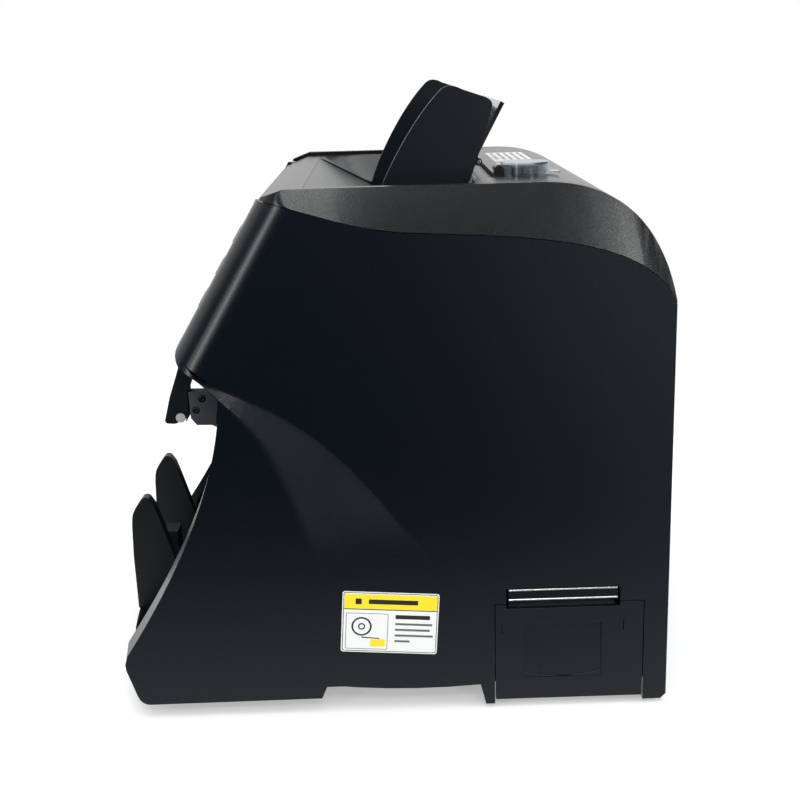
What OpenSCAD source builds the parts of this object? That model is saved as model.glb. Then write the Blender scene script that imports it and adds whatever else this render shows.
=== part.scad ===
// Banknote counter with a top hopper, a front stacker and a receipt printer in its side.
// X runs across the machine, Y from front to rear, Z up. Z = 0 is the table.

/* [Body] */
// Width over both side covers
body_w = 280; // [270:1:300]
// Distance from the origin back to the rear cover
rear_y = 149; // [145:1:165]
// Height of the flat top above the table
top_z = 290.3; // [286:0.1:300]
// Wall thickness of the moulded covers
wall = 3; // [2.4:0.1:3.4]
// Depth of the inward flange round each side cover
flange = 18; // [17:0.5:20]
// Corner radius between the side covers and the slanted front
front_r = 18; // [16:0.5:18]
// Gap between neighbouring covers
seam = 0.4; // [0.2:0.05:0.6]
// How far the side band of the top cover leans in at the top edge
band_lean = 4.5; // [3:0.5:5]
// Depth of the long swoosh pressed into each side cover
swoosh_d = 4.5; // [2:0.5:5]

/* [Base and front tray] */
// Underside of the base plate above the table
base_z = 6; // [4:0.5:7]
// Thickness of the base plate
base_t = 3; // [2:0.5:3]
// How far the tray's front lip bulges past the side covers
lip_bulge = 10.5; // [8:0.5:16]
// Height of the tray's front lip
lip_z = 25; // [24:1:30]
// Distance of each stacker fin from the middle
fin_x = 42; // [36:1:50]
// Thickness of a stacker fin
fin_t = 8; // [6:0.5:10]
// Radius of a rubber foot
foot_r = 9; // [7:0.5:11]

/* [Hopper] */
// Distance from each side cover's flange to the guide wing beside it
guide_gap = 15.5; // [15:0.5:18]
// How far each guide wing slides inwards
guide_travel = 38; // [20:1:40]
// Thickness of a guide wing
wing_t = 3; // [2:0.5:3.5]
// Depth of the hopper shelf below the flat top
shelf_d = 2.5; // [2:0.1:3]
// Half width of the folding back plate
flap_x = 62; // [50:1:64]
// Height of the folding back plate above its hinge
flap_h = 35; // [28:1:38]
// Thickness of the folding back plate
flap_t = 2.4; // [2:0.1:3]
// Radius of the back plate's hinge pin
flap_pin_r = 1.2; // [1:0.1:1.4]

/* [Note transport] */
// Distance from each side cover's flange to the steel frame beside it
frame_gap = 10; // [9:0.5:10]
// Thickness of a side frame
frame_t = 2; // [1.5:0.1:2.4]
// Radius of the roller shafts
shaft_r = 3; // [2.5:0.1:3.5]
// Running clearance of a shaft in its bore
fit = 0.05; // [0.02:0.01:0.1]
// Radius of the pickup rollers
pickup_r = 18; // [16:0.5:18]
// Radius of the feed rollers
feed_r = 16; // [14:0.5:16]
// Radius of the retard roller
retard_r = 10; // [9:0.5:10]
// Radius of the transport rollers
transport_r = 12; // [10:0.5:13]
// Radius of the stacker wheels over their blades
stacker_r = 34; // [30:0.5:35]
// Number of blades on a stacker wheel
blades = 10; // [8:1:12]
// Radius of the belt pulleys
pulley_r = 8; // [7:0.5:9]
// Thickness of the drive belts
belt_t = 1.4; // [1:0.1:1.8]
// Radius of the drive motor
motor_r = 21; // [18:0.5:22]
// Length of the drive motor
motor_l = 58; // [40:1:60]

/* [Front panel] */
// Width of the display window
display_w = 124; // [100:1:124]
// Height of the display window along the slope
display_h = 62; // [50:1:64]
// Width of a key
key_w = 16; // [12:0.5:18]
// Height of a key along the slope
key_h = 10; // [8:0.5:12]
// Distance of the key columns from the middle
key_x = 90; // [86:1:94]
// Distance between the keys of a column
key_pitch = 20; // [17:0.5:22]
// How far a key stands out of the panel
key_out = 1.2; // [1:0.1:2]
// Gap round a key
key_gap = 0.35; // [0.3:0.05:0.5]

/* [Printer] */
// Front edge of the printer door
door_y = 54; // [53:0.5:55]
// Width of the printer door, a standard size for 57 mm paper
door_w = 81.5; // [81:0.5:82]
// Lower edge of the printer door
door_z = 5; // [4:0.5:6]
// Height of the printer door
door_h = 57; // [56:0.5:58]
// Gap round the printer door
door_gap = 0.5; // [0.3:0.05:0.7]
// Length of the tear bar
tear_l = 61.5; // [60:0.5:62]
// Height of the tear bar
tear_h = 8; // [6:0.5:8]
// Radius of the platen roller
platen_r = 5; // [4:0.5:5]
// Radius of a full paper roll
roll_r = 24; // [18:1:25]
// Radius of the paper roll's cardboard core
core_r = 6; // [5:0.5:8]

/* [Knob under the clear cover] */
// Distance of the knob from the outer side of the cover
knob_in = 54; // [50:1:60]
// Distance of the knob behind the origin
knob_y = 76.5; // [76:0.5:79]
// Outer radius of the clear cover
cap_r = 13; // [12:0.5:13.5]
// Height of the clear cover
cap_h = 6.5; // [6:0.5:8]
// Radius of the knob
knob_r = 7.5; // [6:0.5:8]
// Radius of the cover's hinge pin
cap_pin_r = 0.9; // [0.7:0.1:1]

/* [Nose arms] */
// Distance from each side cover's flange to the nose arm beside it
arm_gap = 2; // [1.5:0.5:3]
// Width of a nose arm
arm_w = 15; // [10:1:16]
// Radius of the roller at the end of a nose arm
arm_roller_r = 2.7; // [2.4:0.1:3]

/* [Rear] */
// Side of the square cooling fan
fan_w = 60; // [50:5:60]
// Depth of the cooling fan
fan_d = 15; // [10:1:15]
// Distance of the fan's centre from the middle
fan_x = 60; // [55:1:65]
// Height of the fan's centre
fan_z = 150; // [140:1:160]
// Distance of the power inlet from the outer side of the cover
inlet_in = 48; // [45:1:50]
// Height of the power inlet's centre
inlet_z = 75; // [72:1:80]

/* [Hidden] */
$fn = 48;

// Slope of the hopper ramp, and lean of the back plate, in degrees
ramp_a = 28;
// Pitch radius of the pinion between the two guide racks
pinion_r = 7.2;
// Standard width of the receipt paper
roll_w = 57;

// Half widths
half_w = body_w / 2;
inner_x = half_w - flange;
panel_x = inner_x - seam - 0.1;
rim_x = half_w - 10;
guide_x = inner_x - guide_gap;
frame_x = inner_x - frame_gap;
arm_x = inner_x - arm_gap;
knob_x = half_w - knob_in;
inlet_x = half_w - inlet_in;
bed_x = guide_x + 0.7;
frame_in = frame_x - frame_t;

// Outline of a side cover, in the Y and Z of its own plane
nose_tip = [-111.7, 209.2];
chin = [-110, 199.6];
slant_top = [-68.2, top_z - 9.3];
brow = [-66.2, top_z - 5.3];
crown = [-51.5, top_z];
skirt_z = 9;
base_nose = [-150.8, 33];
pocket_low = [-149.7, 37.5];
pocket_top = [-89.9, 182];
front_y = base_nose[0] - 0.5 - lip_bulge;
mid_y = -(rear_y + front_y) / 2;
rear_top = [rear_y, top_z - 63.3];
slant_v = slant_top - nose_tip;
slant_len = norm(slant_v);
slant_a = atan2(slant_v[1], slant_v[0]);

// Swoosh pressed into the side, upper and lower edges as curve control points
swoosh_up = [[-113.3, 208.2], [-76.5, 169.7], [-47.4, 193.7], [20, 85]];
swoosh_low = [[-110, 205.6], [-83, 169.3], [-67, 174.3], [-44, 88]];

// Hopper lines: the ramp falls to the rear, the back wall stands square to it
down = [cos(ramp_a), -sin(ramp_a)];
up = [sin(ramp_a), cos(ramp_a)];
deck_z = top_z - shelf_d;
ramp_top = [-43.8, deck_z];
ramp_t = 2.5;
wall_foot = [48, top_z - 0.3];
throat = ramp_top + down * ((wall_foot - ramp_top) * down);
ramp_len = norm(throat - ramp_top);
wall_len = norm(wall_foot - throat);
shelf_y = 46.5;
hopper_rear_y = 60;
flap_seat = 0.2;
flap_rise = 7.05;
flap_pin_yz = wall_foot + up * flap_rise + down * (flap_seat + 2.2);
barrel_r = flap_pin_r + 1;
lug_r = flap_pin_r + 0.7;
lug_t = 4;

// Note path: along the back wall, then on down past the sensors
function on_path(s) = throat + up * s;
pickup_s = 22;
feed_s = -14;
transport_s = -60;
sensor_s = -92;
pickup_c = on_path(pickup_s) + down * (pickup_r - 1.5);
feed_c = on_path(feed_s) + down * (feed_r - 1);
retard_c = on_path(feed_s) - down * (retard_r + 0.3);
transport_c = on_path(transport_s) + down * (transport_r + 0.2);
sensor_c = on_path(sensor_s);
stacker_c = [-60, 112];
motor_c = [-20, 75];
pickup_x = 30;
feed_x = 14;
transport_x = 40;
wheel_x = 30;
wheel_t = 6;
path_gap = 1.5;
guide_t = 1.5;
belt_x = frame_x + 3;
belt_w = 5;

// Wing guides in the ramp's own frame: X across, Y down the slope, Z square to it
pinion_y = 45;
rack_z = -8;
rack_top = -ramp_t - 0.3;
rack_depth = 4.6;
// Whole height of a tooth, and its part below the pitch line
tooth_l = 2.3;
root_h = 1.4;
tooth_pitch = 2 * PI * pinion_r / 12;
foot_y0 = pinion_y + pinion_r + root_h;
foot_y1 = foot_y0 + rack_depth;
slot_gap = 0.4;
pinion_pin_r = 2;

// Printer behind its door
print_y = door_y + door_w / 2 - 3.5;
hinge_xz = [half_w - 5.8, door_z + 5];
hinge_pin_r = 1.5;
platen_xz = [half_w - 10.5, door_z + 50.5];
platen_shaft_r = 2;
box_t = 1.8;
box_x0 = half_w - 78;
box_z0 = base_z + base_t + 0.2;
roll_xz = [half_w - 48, box_z0 + box_t + 0.3 + roll_r];
platen_l = 59;
box_y0 = print_y - platen_l / 2 - 4.5;
box_y1 = print_y + platen_l / 2 + 5;
door_top = door_z + door_h;
tear_z = door_top + 0.8;
tear_t = 1.2;
box_top = tear_z + tear_h + 2.2;

// Clear cover over the knob
cap_pin = [knob_y - cap_r - 1.2, top_z + 3];
cap_z = top_z + 0.2;
cap_t = 1.2;

// Arms under the nose
arm_roller_c = [-113.6, 168.2];

// Slanted panel in its own frame: X across, Y up the slope, Z outwards
panel_t = wall;
window_v = slant_len / 2 + 1;
window_t = 2;
module_t = 6;

function arc(c, r, a0, a1, n) =
    [for (i = [0 : n]) c + r * [cos(a0 + (a1 - a0) * i / n), sin(a0 + (a1 - a0) * i / n)]];
function bez2(a, b, c, n) =
    [for (i = [0 : n]) let (t = i / n) a * (1 - t) ^ 2 + b * 2 * t * (1 - t) + c * t ^ 2];
function bez_at(p, t) =
    p[0] * (1 - t) ^ 3 + p[1] * 3 * t * (1 - t) ^ 2 + p[2] * 3 * t ^ 2 * (1 - t) + p[3] * t ^ 3;
function bez3(p, n) = [for (i = [0 : n]) bez_at(p, i / n)];
function flip(p) = [for (i = [len(p) - 1 : -1 : 0]) p[i]];
function left_of(a, b) = [a[1] - b[1], b[0] - a[0]] / norm(b - a);
function mitre(n1, n2, d) = let (m = (n1 + n2) / norm(n1 + n2)) m * d / (m * n1);
// Open line moved to its left by d
function beside(p, d) = let (k = len(p) - 1)
    [for (i = [0 : k])
        let (n1 = left_of(p[max(i - 1, 0)], p[max(i, 1)]))
        let (n2 = left_of(p[min(i, k - 1)], p[min(i + 1, k)]))
        p[i] + mitre(n1, n2, d)];
// Closed outline, counter-clockwise, moved inwards by d
function inset(p, d) = let (k = len(p))
    [for (i = [0 : k - 1])
        p[i] + mitre(left_of(p[(i + k - 1) % k], p[i]), left_of(p[i], p[(i + 1) % k]), d)];
function ribbon(p, d) = concat(p, flip(beside(p, d)));
function box2(y0, z0, y1, z1) = [[y0, z0], [y1, z0], [y1, z1], [y0, z1]];

// Seam between side and top cover, and the top profile over it, front to rear
seam_n = 12;
seam_front = [brow, [-42, top_z - 8.8], [-20, top_z - 22], [17, top_z - 23.3]];
seam_rear = [[17, top_z - 23.3], [rear_y - 71, top_z - 26.8], [rear_y - 13, top_z - 29.3],
    rear_top];
rear_curve = [[rear_y - 67, top_z], [rear_y - 28.5, top_z - 0.8], [rear_y - 6.7, top_z - 24.3],
    rear_top + [0, 1.5]];
flat_part = 0.4;
seam_line = concat(bez3(seam_front, seam_n),
    [for (i = [1 : seam_n]) bez_at(seam_rear, i / seam_n)]);
function crown_at(y) = y < crown[0]
    ? [y, brow[1] + (crown[1] - brow[1]) * (y - brow[0]) / (crown[0] - brow[0])]
    : [y, top_z];
function top_at(t) = t < flat_part
    ? [17, top_z] + (rear_curve[0] - [17, top_z]) * t / flat_part
    : bez_at(rear_curve, (t - flat_part) / (1 - flat_part));
band_top = concat([for (p = bez3(seam_front, seam_n)) crown_at(p[0])],
    [for (i = [1 : seam_n]) top_at(i / seam_n)]);
top_profile = concat([brow, crown], bez3(rear_curve, 18));

leg_z = 2.5;
nose_curve = bez2(nose_tip, [-114, 205], chin, 4);
under_nose = bez2(chin, [-99, 193.5], pocket_top, 4);
pocket_edge = bez2(pocket_top, [-94.7, 119.7], pocket_low, 18);
// Front edge of the flange beside the pocket, which stands out more the lower it is
rim_out = 2.4;
pocket_rim = [for (i = [0 : len(pocket_edge) - 1])
    pocket_edge[i] + [-0.87, 0.49] * rim_out * i / (len(pocket_edge) - 1)];
function side_line(edge) = concat(
    bez2([-145.2, 13.5], [-143.2, skirt_z - 0.5], [-138.5, skirt_z - 0.5], 4),
    [[-43, skirt_z]],
    bez2([-39.5, 17], [0, 11.5], [45.5, 14.5], 5),
    [[48.5, leg_z], [rear_y - 3, leg_z], [rear_y, leg_z + 3]],
    flip([for (p = seam_line) p - [0, seam]]),
    [slant_top],
    nose_curve,
    [for (i = [1 : 3]) under_nose[i]],
    edge,
    [[-150.6, 35.3], base_nose, [-150.4, 29.5]]);
side_outline = side_line(pocket_edge);

module in_frame() {
    translate([0, mid_y, 0]) children();
}

module x_plate(pts, x0, x1) {
    translate([x0, 0, 0]) rotate([90, 0, 90]) linear_extrude(x1 - x0) polygon(pts);
}

module x_rod(c, x0, x1, r) {
    translate([x0, c[0], c[1]]) rotate([0, 90, 0]) cylinder(r = r, h = x1 - x0);
}

module y_rod(xz, y0, y1, r) {
    translate([xz[0], y0, xz[1]]) rotate([-90, 0, 0]) cylinder(r = r, h = y1 - y0);
}

module block(lo, hi) {
    translate(lo) cube(hi - lo);
}

module both_sides() {
    children();
    mirror([1, 0, 0]) children();
}

// Skin over a row of cross sections, each a list of points in space
module loft(rows) {
    n = len(rows[0]);
    k = len(rows);
    first = [for (i = [1 : n - 2]) [0, i, i + 1]];
    last = [for (i = [1 : n - 2]) [(k - 1) * n, (k - 1) * n + i + 1, (k - 1) * n + i]];
    side_a = [for (j = [0 : k - 2], i = [0 : n - 1]) [j * n + i, (j + 1) * n + i, j * n + (i + 1) % n]];
    side_b = [for (j = [0 : k - 2], i = [0 : n - 1])
        [j * n + (i + 1) % n, (j + 1) * n + i, (j + 1) * n + (i + 1) % n]];
    polyhedron([for (r = rows) each r], concat(first, last, side_a, side_b));
}

module on_slant() {
    translate([0, nose_tip[0], nose_tip[1]]) rotate([slant_a, 0, 0]) children();
}

module on_ramp() {
    translate([0, ramp_top[0], ramp_top[1]]) rotate([-ramp_a, 0, 0]) children();
}

// What rounding the edge between a side and the slanted front takes away
module slant_corner(r, reach) {
    centre = half_w - front_r;
    on_slant() difference() {
        translate([centre, -40, -front_r])
            cube([reach, slant_len + 60, reach]);
        translate([centre, -41, -front_r]) rotate([-90, 0, 0]) cylinder(r = r, h = slant_len + 62);
    }
}

// Wedge outside the leaning side band, carried on past the top so that no sliver is left
module band_wedge() {
    past = 1.35;
    loft([for (i = [0 : len(seam_line) - 1])
        let (s = seam_line[i])
        let (t = band_top[i])
        let (rise = norm(t - s))
        let (lean = band_lean * min(1, rise / 15) + 0.02)
        let (o = s + (t - s) * past + [0, 0.02])
        [[half_w + 0.01, s[0], s[1]], [half_w - lean * past, o[0], o[1]], [half_w + 8, o[0], o[1]]]]);
}

module swoosh_wedge() {
    loft([for (t = [0 : 0.07 : 0.98])
        let (a = bez_at(swoosh_up, t))
        let (b = bez_at(swoosh_low, t))
        let (d = swoosh_d * (1 - t) ^ 0.85)
        [[half_w + 4, a[0], a[1]], [half_w + 0.3, b[0], b[1]], [half_w - d, a[0], a[1]]]]);
}

// Wedge outside the flange's bevel, from the outer face to the rim beside the pocket
module pocket_wedge() {
    past = 1 / flange;
    loft([for (i = [0 : len(pocket_edge)])
        let (k = min(i, len(pocket_edge) - 1))
        let (p = i > k ? base_nose : pocket_edge[k])
        let (q = i > k ? base_nose - [0.05, 0] : pocket_rim[k] - [0.02, 0])
        let (o = q + (q - p) * past)
        let (n = p - (q - p) * past)
        [[inner_x - 1, o[0], o[1]], [half_w + 1, n[0], n[1]], [half_w + 1, o[0] - 3, o[1]]]]);
}

module side_shell() {
    pad = concat(beside(bez3(swoosh_up, 8), wall), flip(beside(bez3(swoosh_low, 8), -wall)));
    difference() {
        x_plate(side_line(pocket_rim), inner_x, half_w);
        slant_corner(front_r, front_r + 10);
        swoosh_wedge();
        pocket_wedge();
        difference() {
            x_plate(inset(side_outline, wall), inner_x - 1, half_w - wall);
            slant_corner(front_r - wall, front_r + 10);
            x_plate(pad, half_w - wall - swoosh_d, half_w);
        }
    }
}

module door_hole() {
    x0 = inner_x - 2;
    x1 = half_w + 1;
    block([x0, door_y - door_gap, -1], [x1, door_y + door_w + door_gap, door_top + door_gap]);
    block([x0, print_y - tear_l / 2 - 0.5, door_top],
        [x1, print_y + tear_l / 2 + 0.5, tear_z + tear_h + 0.5]);
}

label_c = [-4, 53.5];
label_size = [53, 36];
label_t = 0.2;
label_a = -4;

module side_label_shape(gap) {
    translate([half_w - label_t, label_c[0], label_c[1]]) rotate([label_a, 0, 0])
        rotate([90, 0, 90]) linear_extrude(label_t + gap)
            square([label_size[0] + 2 * gap, label_size[1] + 2 * gap], center = true);
}

module right_side_cover() {
    color([0.09, 0.10, 0.11]) in_frame() difference() {
        side_shell();
        door_hole();
        side_label_shape(0.05);
    }
}

module left_side_cover() {
    vent_n = 9;
    vent_pitch = 7;
    color([0.09, 0.10, 0.11]) in_frame() mirror([1, 0, 0]) difference() {
        side_shell();
        for (i = [0 : vent_n - 1])
            block([half_w - wall - 1, 40 + i * vent_pitch, 50], [half_w + 1, 43 + i * vent_pitch, 92]);
    }
}

module top_cover() {
    outline = concat([for (p = seam_line) p], flip(top_profile));
    cavity = concat(flip(beside(top_profile, -wall)), [[brow[0] + 2, 150], [rear_y - wall, 150]]);
    opening_x = guide_x - 2.5;
    color([0.12, 0.13, 0.14]) in_frame() {
        difference() {
            x_plate(outline, -half_w, half_w);
            x_plate(cavity, -half_w + 8.5, half_w - 8.5);
            both_sides() {
                band_wedge();
                slant_corner(front_r, front_r + 10);
            }
            block([-rim_x, brow[0] - 5, top_z - 20], [rim_x, shelf_y, top_z + 1]);
            block([-opening_x, shelf_y - 1, top_z - 20], [opening_x, hopper_rear_y, top_z + 1]);
            translate([knob_x, knob_y, top_z - wall - 1]) cylinder(r = shaft_r + fit, h = wall + 2);
            rim_groove();
            top_label_shape(0.05);
        }
        cap_lugs();
    }
}

// Shallow groove that carries the rim's line over the rear of the top
module rim_groove() {
    line = [for (p = top_profile) if (p[0] > shelf_y) p];
    start = [[shelf_y, top_z]];
    both_sides() x_plate(ribbon(concat(start, line), -0.6), rim_x - 0.8, rim_x);
}

// Two lugs and the pin between them, for the clear cover
cap_lug_x = 8.5;
cap_lug_r = 2.2;

module cap_lugs() {
    for (s = [-1, 1]) {
        x_rod(cap_pin, knob_x + s * cap_lug_x - 1, knob_x + s * cap_lug_x + 1, cap_lug_r);
        block([knob_x + s * cap_lug_x - 1, cap_pin[0] - cap_lug_r, top_z - 1],
            [knob_x + s * cap_lug_x + 1, cap_pin[0] + cap_lug_r, cap_pin[1]]);
    }
    x_rod(cap_pin, knob_x - cap_lug_x, knob_x + cap_lug_x, cap_pin_r);
}

module front_panel() {
    path = concat([slant_top], nose_curve, [for (i = [1 : 2]) under_nose[i]]);
    inner_w = display_w - 6;
    inner_h = display_h - 6;
    color([0.10, 0.11, 0.12]) in_frame() difference() {
        x_plate(ribbon(path, panel_t), -panel_x, panel_x);
        on_slant() {
            translate([-display_w / 2 - 0.2, window_v - display_h / 2 - 0.2, -window_t])
                cube([display_w + 0.4, display_h + 0.4, window_t + 1]);
            translate([-inner_w / 2, window_v - inner_h / 2, -panel_t - 1])
                cube([inner_w, inner_h, panel_t + 1]);
            for (i = [1 : 6]) translate([key_place(i)[0], key_place(i)[1], -panel_t - 1])
                linear_extrude(panel_t + 2)
                    square([key_w + 2 * key_gap, key_h + 2 * key_gap], center = true);
        }
    }
}

function key_place(i) = [i <= 3 ? -key_x : key_x, window_v + (((i - 1) % 3) - 1) * key_pitch];

module key(i) {
    color([0.45, 0.46, 0.48]) in_frame() on_slant() translate([key_place(i)[0], key_place(i)[1], 0]) {
        translate([-key_w / 2, -key_h / 2, -panel_t - 0.5]) cube([key_w, key_h, panel_t + 0.5 + key_out]);
        translate([-key_w / 2 - 1.5, -key_h / 2 - 1.5, -panel_t - 1.7])
            cube([key_w + 3, key_h + 3, 1.2]);
    }
}

module key_1() key(1);
module key_2() key(2);
module key_3() key(3);
module key_4() key(4);
module key_5() key(5);
module key_6() key(6);

module display_window() {
    color([0.05, 0.06, 0.08]) in_frame() on_slant()
        translate([-display_w / 2, window_v - display_h / 2, -window_t])
            cube([display_w, display_h, window_t]);
}

module display_module() {
    w = display_w - 2;
    h = display_h - 2;
    pcb_t = 1.6;
    color([0.10, 0.30, 0.16]) in_frame() on_slant() {
        translate([-w / 2, window_v - h / 2, -panel_t - module_t]) cube([w, h, module_t]);
        translate([-key_x - key_w / 2, window_v - h / 2, -panel_t - module_t - pcb_t])
            cube([2 * key_x + key_w, h, pcb_t]);
    }
}

module rear_cover() {
    y0 = rear_y - wall;
    hole = 0.3;
    color([0.10, 0.11, 0.12]) in_frame() {
        difference() {
            block([-panel_x, y0, skirt_z + 0.5], [panel_x, rear_y, rear_top[1] - seam]);
            for (i = [-5 : 5]) {
                reach = sqrt(27 ^ 2 - (i * 4.6) ^ 2);
                block([-fan_x - reach, y0 - 1, fan_z + i * 4.6 - 1.3],
                    [-fan_x + reach, rear_y + 1, fan_z + i * 4.6 + 1.3]);
            }
            block([-inlet_x - entry_x, y0 - 1, entry_z0], [-inlet_x + entry_x, rear_y + 1, entry_z1]);
            for (p = ports)
                block([p[0] - p[1] / 2 - hole, y0 - 1, port_z - p[2] / 2 - hole],
                    [p[0] + p[1] / 2 + hole, rear_y + 1, port_z + p[2] / 2 + hole]);
            for (p = rear_screws) {
                y_rod(p, y0 - 1, rear_y + 1, 1.7);
                y_rod(p, rear_y - 1.6, rear_y + 1, 3.4);
            }
        }
        for (x = [board_x0 + 6, board_x1 - 6], z = [board_z0 + 6, board_z1 - 6])
            y_rod([x, z], board_y + board_t, y0, 3);
    }
}

switch_z = inlet_z + 28;
switch_r = 8;
switch_y = rear_y - switch_r - 0.2;
board_t = 1.6;
board_y = rear_y - wall - 12;
board_x0 = -20;
board_x1 = 104;
board_z0 = 92;
board_z1 = 190;
port_z = board_z0 + 12;
// Ports as place, width and height
ports = [[0, 13, 6.5], [26, 12, 11], [52, 16, 13], [82, 28, 9]];
rear_screws = [for (x = [-1, 1], z = [20, 205]) [x * (inner_x - 12), z]];

module base_plate() {
    color([0.30, 0.31, 0.32]) in_frame()
        block([-panel_x, -138, base_z], [panel_x, rear_y - wall - seam, base_z + base_t]);
}

// Plan of the tray: its front edge is one shallow arc between the side covers
module tray_plan(z0, z1, back) {
    sag = lip_bulge;
    r = (panel_x ^ 2 + sag ^ 2) / (2 * sag);
    a = asin(panel_x / r);
    translate([0, 0, z0]) linear_extrude(z1 - z0)
        polygon(concat(arc([0, front_y + r], r, 270 - a, 270 + a, 24),
            [[panel_x, back], [-panel_x, back]]));
}

floor_low = [-148, 19];
floor_rear = [-104, base_z + base_t + 4];

module stacker_tray() {
    lip = [front_y + 1, lip_z];
    face = [lip, [front_y, lip_z - 4.5], [front_y + 6, skirt_z]];
    floor_line = [lip, floor_low, floor_rear];
    color([0.08, 0.09, 0.10]) in_frame() {
        intersection() {
            union() {
                x_plate(ribbon(face, wall), -panel_x, panel_x);
                x_plate(ribbon(floor_line, -wall), -panel_x, panel_x);
                for (x = [-100, 0, 100])
                    x_plate([lip + [3, -6], floor_low + [0, -2], floor_rear + [0, -2],
                        [floor_rear[0], base_z + base_t], [-137, base_z + base_t],
                        [-138.5, skirt_z + 4], [front_y + 9, skirt_z + 4]], x - 1, x + 1);
            }
            tray_plan(0, 60, floor_rear[0]);
        }
        block([-8, -149, 18], [8, -140, 61]);
    }
}

module stacker_fins() {
    outline = concat(
        [[front_y + 1.1, lip_z + 0.05], [front_y + 0.8, lip_z + 1], [front_y + 0.3, 60],
            [front_y + 0.9, 80]],
        bez2([front_y + 1.4, 85], [front_y + 2, 88.6], [-157, 92.3], 3),
        arc([-151.4, 94.6], 3.2, 135, 25, 7),
        [[-146.4, 92.5], [-143.6, 84], [-141, 75.2], [-136, 58.4], [-128, 34], [-126, 16.2]],
        [floor_low, [front_y + 3.9, lip_z - 1.3], [front_y + 3.9, lip_z - 0.5]]);
    color([0.07, 0.08, 0.09]) in_frame()
        for (x = [-fin_x, fin_x]) x_plate(flip(outline), x - fin_t / 2, x + fin_t / 2);
}

back_line = concat([[-101, floor_rear[1]]],
    bez2([-92, floor_rear[1] + 14], [-80, 70], [-84, 125], 6), [[-92, 153]]);

module stacker_back() {
    color([0.09, 0.10, 0.11]) in_frame() difference() {
        x_plate(ribbon(back_line, -wall), -panel_x, panel_x);
        for (x = [-wheel_x, wheel_x])
            x_rod(stacker_c, x - wheel_t / 2 - 2, x + wheel_t / 2 + 2, stacker_r + 1.5);
    }
}

note_gap = 3;
ramp_end = throat - down * note_gap;
wall_t = 2.5;
split_s = wall_len - 4;
bed_outer = rim_x - seam;
shoulder_line = concat(
    [for (d = [[0, 0], [3, 0.8], [16, 7.5], [32, 15.8], [44, 19.8]]) ramp_top + [d[0], -d[1]]],
    [[shelf_y - seam, deck_z - 19.8]]);

module shoulder() {
    y1 = shelf_y - seam;
    low = deck_z - 19.8;
    outer = bed_outer - 0.3;
    rim_z = deck_z - 0.05;
    t = wall - 0.4;
    rows = concat([for (k = [0 : len(shoulder_line) - 2]) shoulder_line[k]], [[y1 - 0.5, low]]);
    loft([for (p = rows)
        [[bed_x, p[0], p[1] - 0.05], [outer, p[0], rim_z], [outer, p[0], rim_z - t],
            [bed_x, p[0], p[1] - t]]]);
    // Plate that closes the side of the ramp below the shoulder
    x_plate(concat([for (p = shoulder_line) p - [0.6, 1.2]], [throat + down * wall_t - up * 3,
        ramp_end - up * (ramp_t + 1), ramp_top - up * (ramp_t + 1)]), bed_x + 0.3, bed_x + wall_t);
    // Upright end of the shoulder, under the front edge of the top cover
    translate([0, y1, 0]) rotate([90, 0, 0]) linear_extrude(wall_t)
        polygon([[bed_x + 0.6, low - 1.5], [bed_outer - 0.6, deck_z - 1.5], [bed_outer - 0.6, deck_z],
            [bed_x + 0.6, deck_z]]);
}

module wall_band(s0, s1, x, t) {
    behind = down * (wall_t - t) / 2;
    x_plate(ribbon([on_path(s0) + behind, on_path(s1) + behind], -t), -x, x);
}

module foot_slot(y0, y1) {
    on_ramp() block([guide_x - wing_t - guide_travel - slot_gap, y0 - slot_gap, -ramp_t - 1],
        [guide_x + slot_gap, y1 + slot_gap, 1]);
}

// Point beside the back wall's top edge: so far behind the wall's line, and so far up it
function at_wall(behind, above) = wall_foot + down * behind + up * above;

module flap_lugs() {
    both_sides() {
        x_rod(flap_pin_yz, flap_x - lug_t, flap_x, lug_r);
        x_plate([at_wall(0.3, -2), at_wall(1.5, -2), at_wall(1.5, flap_rise - 1.2),
            at_wall(0.7, flap_rise + 0.5), at_wall(0.3, flap_rise - 1.2)], flap_x - lug_t, flap_x);
    }
}

retard_w = 12;
retard_lug = 2;
retard_x = retard_w / 2 + 0.5;

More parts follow.
